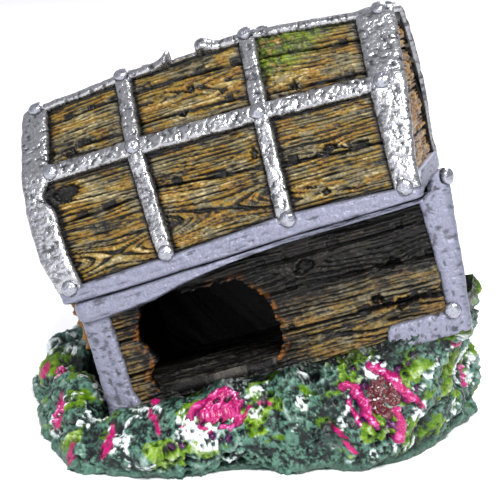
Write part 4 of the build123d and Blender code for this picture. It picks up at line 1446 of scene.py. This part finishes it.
def bloom(name, node, angle, down, size, petals, eyes, heart, seed):
    """Polar patch on the rock, relief = highest petal ridge - eyes, sunk where it is bare.

    A petal is a bell on the distance to a stroke, drawn in mm right and up of the middle.
    The heart is (right, up, half width, half height, rise, colour).
    """
    tiny = 1e-3
    here = rock(angle, down)
    per_angle = np.linalg.norm(rock(angle + tiny, down) - here) / tiny
    per_down = np.linalg.norm(rock(angle, down + tiny) - here) / tiny
    radius = np.linspace(0.02, 1, BLOOM_RINGS)[:, None]
    spin = np.linspace(0, 2 * np.pi, BLOOM_SPOKES, endpoint=False)[None, :]
    x, y = size[0] / 2 * radius * np.cos(spin), size[1] / 2 * radius * np.sin(spin)
    base = rock(angle + x / per_angle, np.clip(down - y / per_down, 0.02, 1))
    step_x = rock(angle + (x + SMALL_MOVE) / per_angle, np.clip(down - y / per_down, 0.02, 1)) - base
    step_y = rock(angle + x / per_angle, np.clip(down - (y + SMALL_MOVE) / per_down, 0.02, 1)) - base
    normal = np.cross(step_x, step_y)
    normal = normal / np.linalg.norm(normal, axis=-1, keepdims=True)
    crumb = fractal(x / 0.9, y / 0.9, seed, seed=seed, octaves=3) - 0.5
    relief = np.full(x.shape, -BLOOM_SUNK)
    petal_here = np.zeros(x.shape)
    for stroke, width, tall in petals:
        away = nearest(np.array(stroke, float), x, y)[1]
        ragged = width * (1 + 0.9 * (noise(x / 1.6, y / 1.6, seed, seed=seed + 1) - 0.5))
        bell = np.exp(-(away / ragged) ** 2 * 0.9)
        relief = np.maximum(relief, (tall + BLOOM_SUNK) * bell - BLOOM_SUNK)
        petal_here = np.maximum(petal_here, bell)
    hx, hy, ha, hb, heart_tall, heart_colour = heart
    heart_here = step(1.1, 0.8, np.hypot((x - hx) / ha, (y - hy) / hb) + 0.5 * crumb)
    relief = np.maximum(relief, (heart_tall + BLOOM_SUNK) * heart_here - BLOOM_SUNK)
    pit = np.zeros(x.shape)
    for ex, ey, er in eyes:
        pit = np.maximum(pit, step(1.2, 0.6, np.hypot(x - ex, y - ey) / er + 0.4 * crumb))
    fringe = step(1.0, 0.8, radius)
    relief = (relief + 1.5 * crumb - 0.9 * pit) * fringe - 1.6 * (1 - fringe)
    magenta = mix(PLUM, MAGENTA, step(0.35, 0.75, petal_here + 0.7 * crumb))
    magenta = mix(magenta, ROSE, step(0.04, 0.18, crumb) * step(0.5, 0.8, petal_here))
    magenta = mix(magenta, CHALK, 0.8 * step(0.20, 0.28, crumb) * step(0.8, 0.95, petal_here))
    colour = mix(magenta, heart_colour, heart_here * step(0.75, 0.45, petal_here))
    colour = mix(colour, CHALK, heart_here * step(0.22, 0.32, crumb) * step(0.7, 0.4, petal_here))
    colour = mix(colour, PIT, 0.9 * pit)
    points = base + (LUMP_HEIGHT * coral_lumps(base) + relief)[..., None] * normal
    points = np.concatenate([points, points[-1:] - 1.5 * normal[-1:]])
    colour = np.concatenate([colour, colour[-1:] * 0.3])
    faces = grid_faces(BLOOM_RINGS + 1, BLOOM_SPOKES, wrap_columns=True)
    middle = np.arange(BLOOM_SPOKES)
    piece = build(name, points, faces, [middle, (middle + BLOOM_RINGS * BLOOM_SPOKES)[::-1]], colour)
    finish_piece(piece, "base", "bloom_paint", bloom_gloss, node)


def spot(x, z, front=True):
    """Angle and depth of the rock point nearest to a place seen from in front or behind."""
    facing = smooth_rock[..., 1] < 0 if front else smooth_rock[..., 1] > 15
    away = np.hypot(smooth_rock[..., 0] - x, smooth_rock[..., 2] - z) + np.where(facing, 0, 1e3)
    row, column = np.unravel_index(away.argmin(), away.shape)
    return float(angles[0, column]), float(downs[row, 0])


rosette = [([(-6.8, 1.5), (-4.5, 4.6), (-0.5, 5.6), (3, 4.2), (5.5, 1.5), (6.8, -2)], 1.7, 2.6),
           ([(-4, 1), (0, 1.8), (3.4, 0)], 1.7, 2.4), ([(7.8, -1.5), (9.8, 0.8)], 1.2, 1.8),
           ([(-3.5, -2.5), (-1, -3.6)], 1.1, 0.6), ([(2.0, -3.2), (4.8, -3.4)], 1.3, 1.2),
           ([(-7.5, -1.5), (-6.0, -3.0)], 0.9, 0.2)]
bloom("coral_bloom_front_left", "bloom_front_left", *spot(-10.0, 14.5), (23, 19), rosette,
      [(-1.8, 3.0, 0.9), (1.8, 3.2, 1.2), (-4.4, 1.4, 0.7), (1.0, -1.2, 0.7)],
      (0.2, 1.6, 5.2, 3.6, 2.2, MAGENTA), 221)
star = [([(-12, 6.5), (-8.5, 5.5), (-5.5, 0), (-3.8, -5.5)], 1.5, 2.4),
        ([(-3.0, 9.5), (0.5, 6.5), (3.5, 3), (6.3, -2)], 1.5, 2.6),
        ([(2.2, -4), (3.2, -8), (3.0, -12)], 1.5, 2.2), ([(-9.5, 1), (-8.0, -3), (-7.0, -6)], 0.9, 0.8)]
bloom("coral_bloom_front_right", "bloom_front_right", *spot(32.5, 19.5), (30, 31), star, [],
      (-0.2, 0.5, 4.6, 6.2, 1.2, WINE), 227)
curl = [([(-2.5, -1.5), (-1, 2), (2, 2.5)], 1.3, 1.5), ([(0, -2.5), (2.5, -0.5)], 1.2, 1.2)]
SMALL_BLOOMS = [("left_low", -52, 7.0, (0.5, 0.2, 0.6), 229), ("left_high", -60, 13.0, (0.2, 0.3, 0.6), 233),
                ("right", 57.5, 13.0, (0.2, 0.3, 0.6), 239)]
for where, x, z, eye, seed in SMALL_BLOOMS:
    bloom(f"coral_bloom_{where}", f"bloom_{where}", *spot(x, z), (9, 9), curl, [eye],
          (0, 0, 1.8, 1.6, 0.8, WINE), seed)
bloom("coral_bloom_back", "bloom_back", *spot(5.0, 12.0, front=False), (16, 13), rosette, [(0, 3, 0.9)],
      (0, 0, 5.0, 4.0, 2.0, MAGENTA), 241)

# %% [markdown]
# ## Pieces kept as they were packed
#
# The hinges, their pins and the air fittings are plain working shapes, so they stay as
# they are and only get a finish: silver paint for the hinge leaves, bright steel for the
# pins, dull black rubber for the seal, grey plastic for the pipe, and grit for the stone.

# %% Finishes for the working pieces
hinge_silver = solid_finish("hinge_silver", (0.24, 0.245, 0.28), 0.42, 1100, 0.5, metallic=0.8, spread=0.3)
pin_steel = solid_finish("pin_steel", (0.60, 0.60, 0.61), 0.28, 2200, 0.15, metallic=1.0, spread=0.1)
seal_rubber = solid_finish("seal_rubber", (0.025, 0.026, 0.028), 0.65, 900, 0.4, spread=0.25)
pipe_plastic = solid_finish("pipe_plastic", (0.36, 0.39, 0.41), 0.25, 700, 0.12, spread=0.08)
stone_grit = solid_finish("stone_grit", (0.16, 0.24, 0.33), 0.9, 2600, 1.0, spread=0.45)
KEPT = {"tub_hinge_left": hinge_silver, "tub_hinge_right": hinge_silver,
        "lid_hinge_left": hinge_silver, "lid_hinge_right": hinge_silver,
        "hinge_pin_left": pin_steel, "hinge_pin_right": pin_steel,
        "inlet_seal": seal_rubber, "air_inlet": pipe_plastic, "air_pipe": pipe_plastic,
        "stone_socket": pipe_plastic, "air_stone": stone_grit}
for node, finish in KEPT.items():
    materials = frame["nodes"][node].data.materials
    materials.clear()
    materials.append(finish)
print("kept", len(KEPT), "packed pieces")
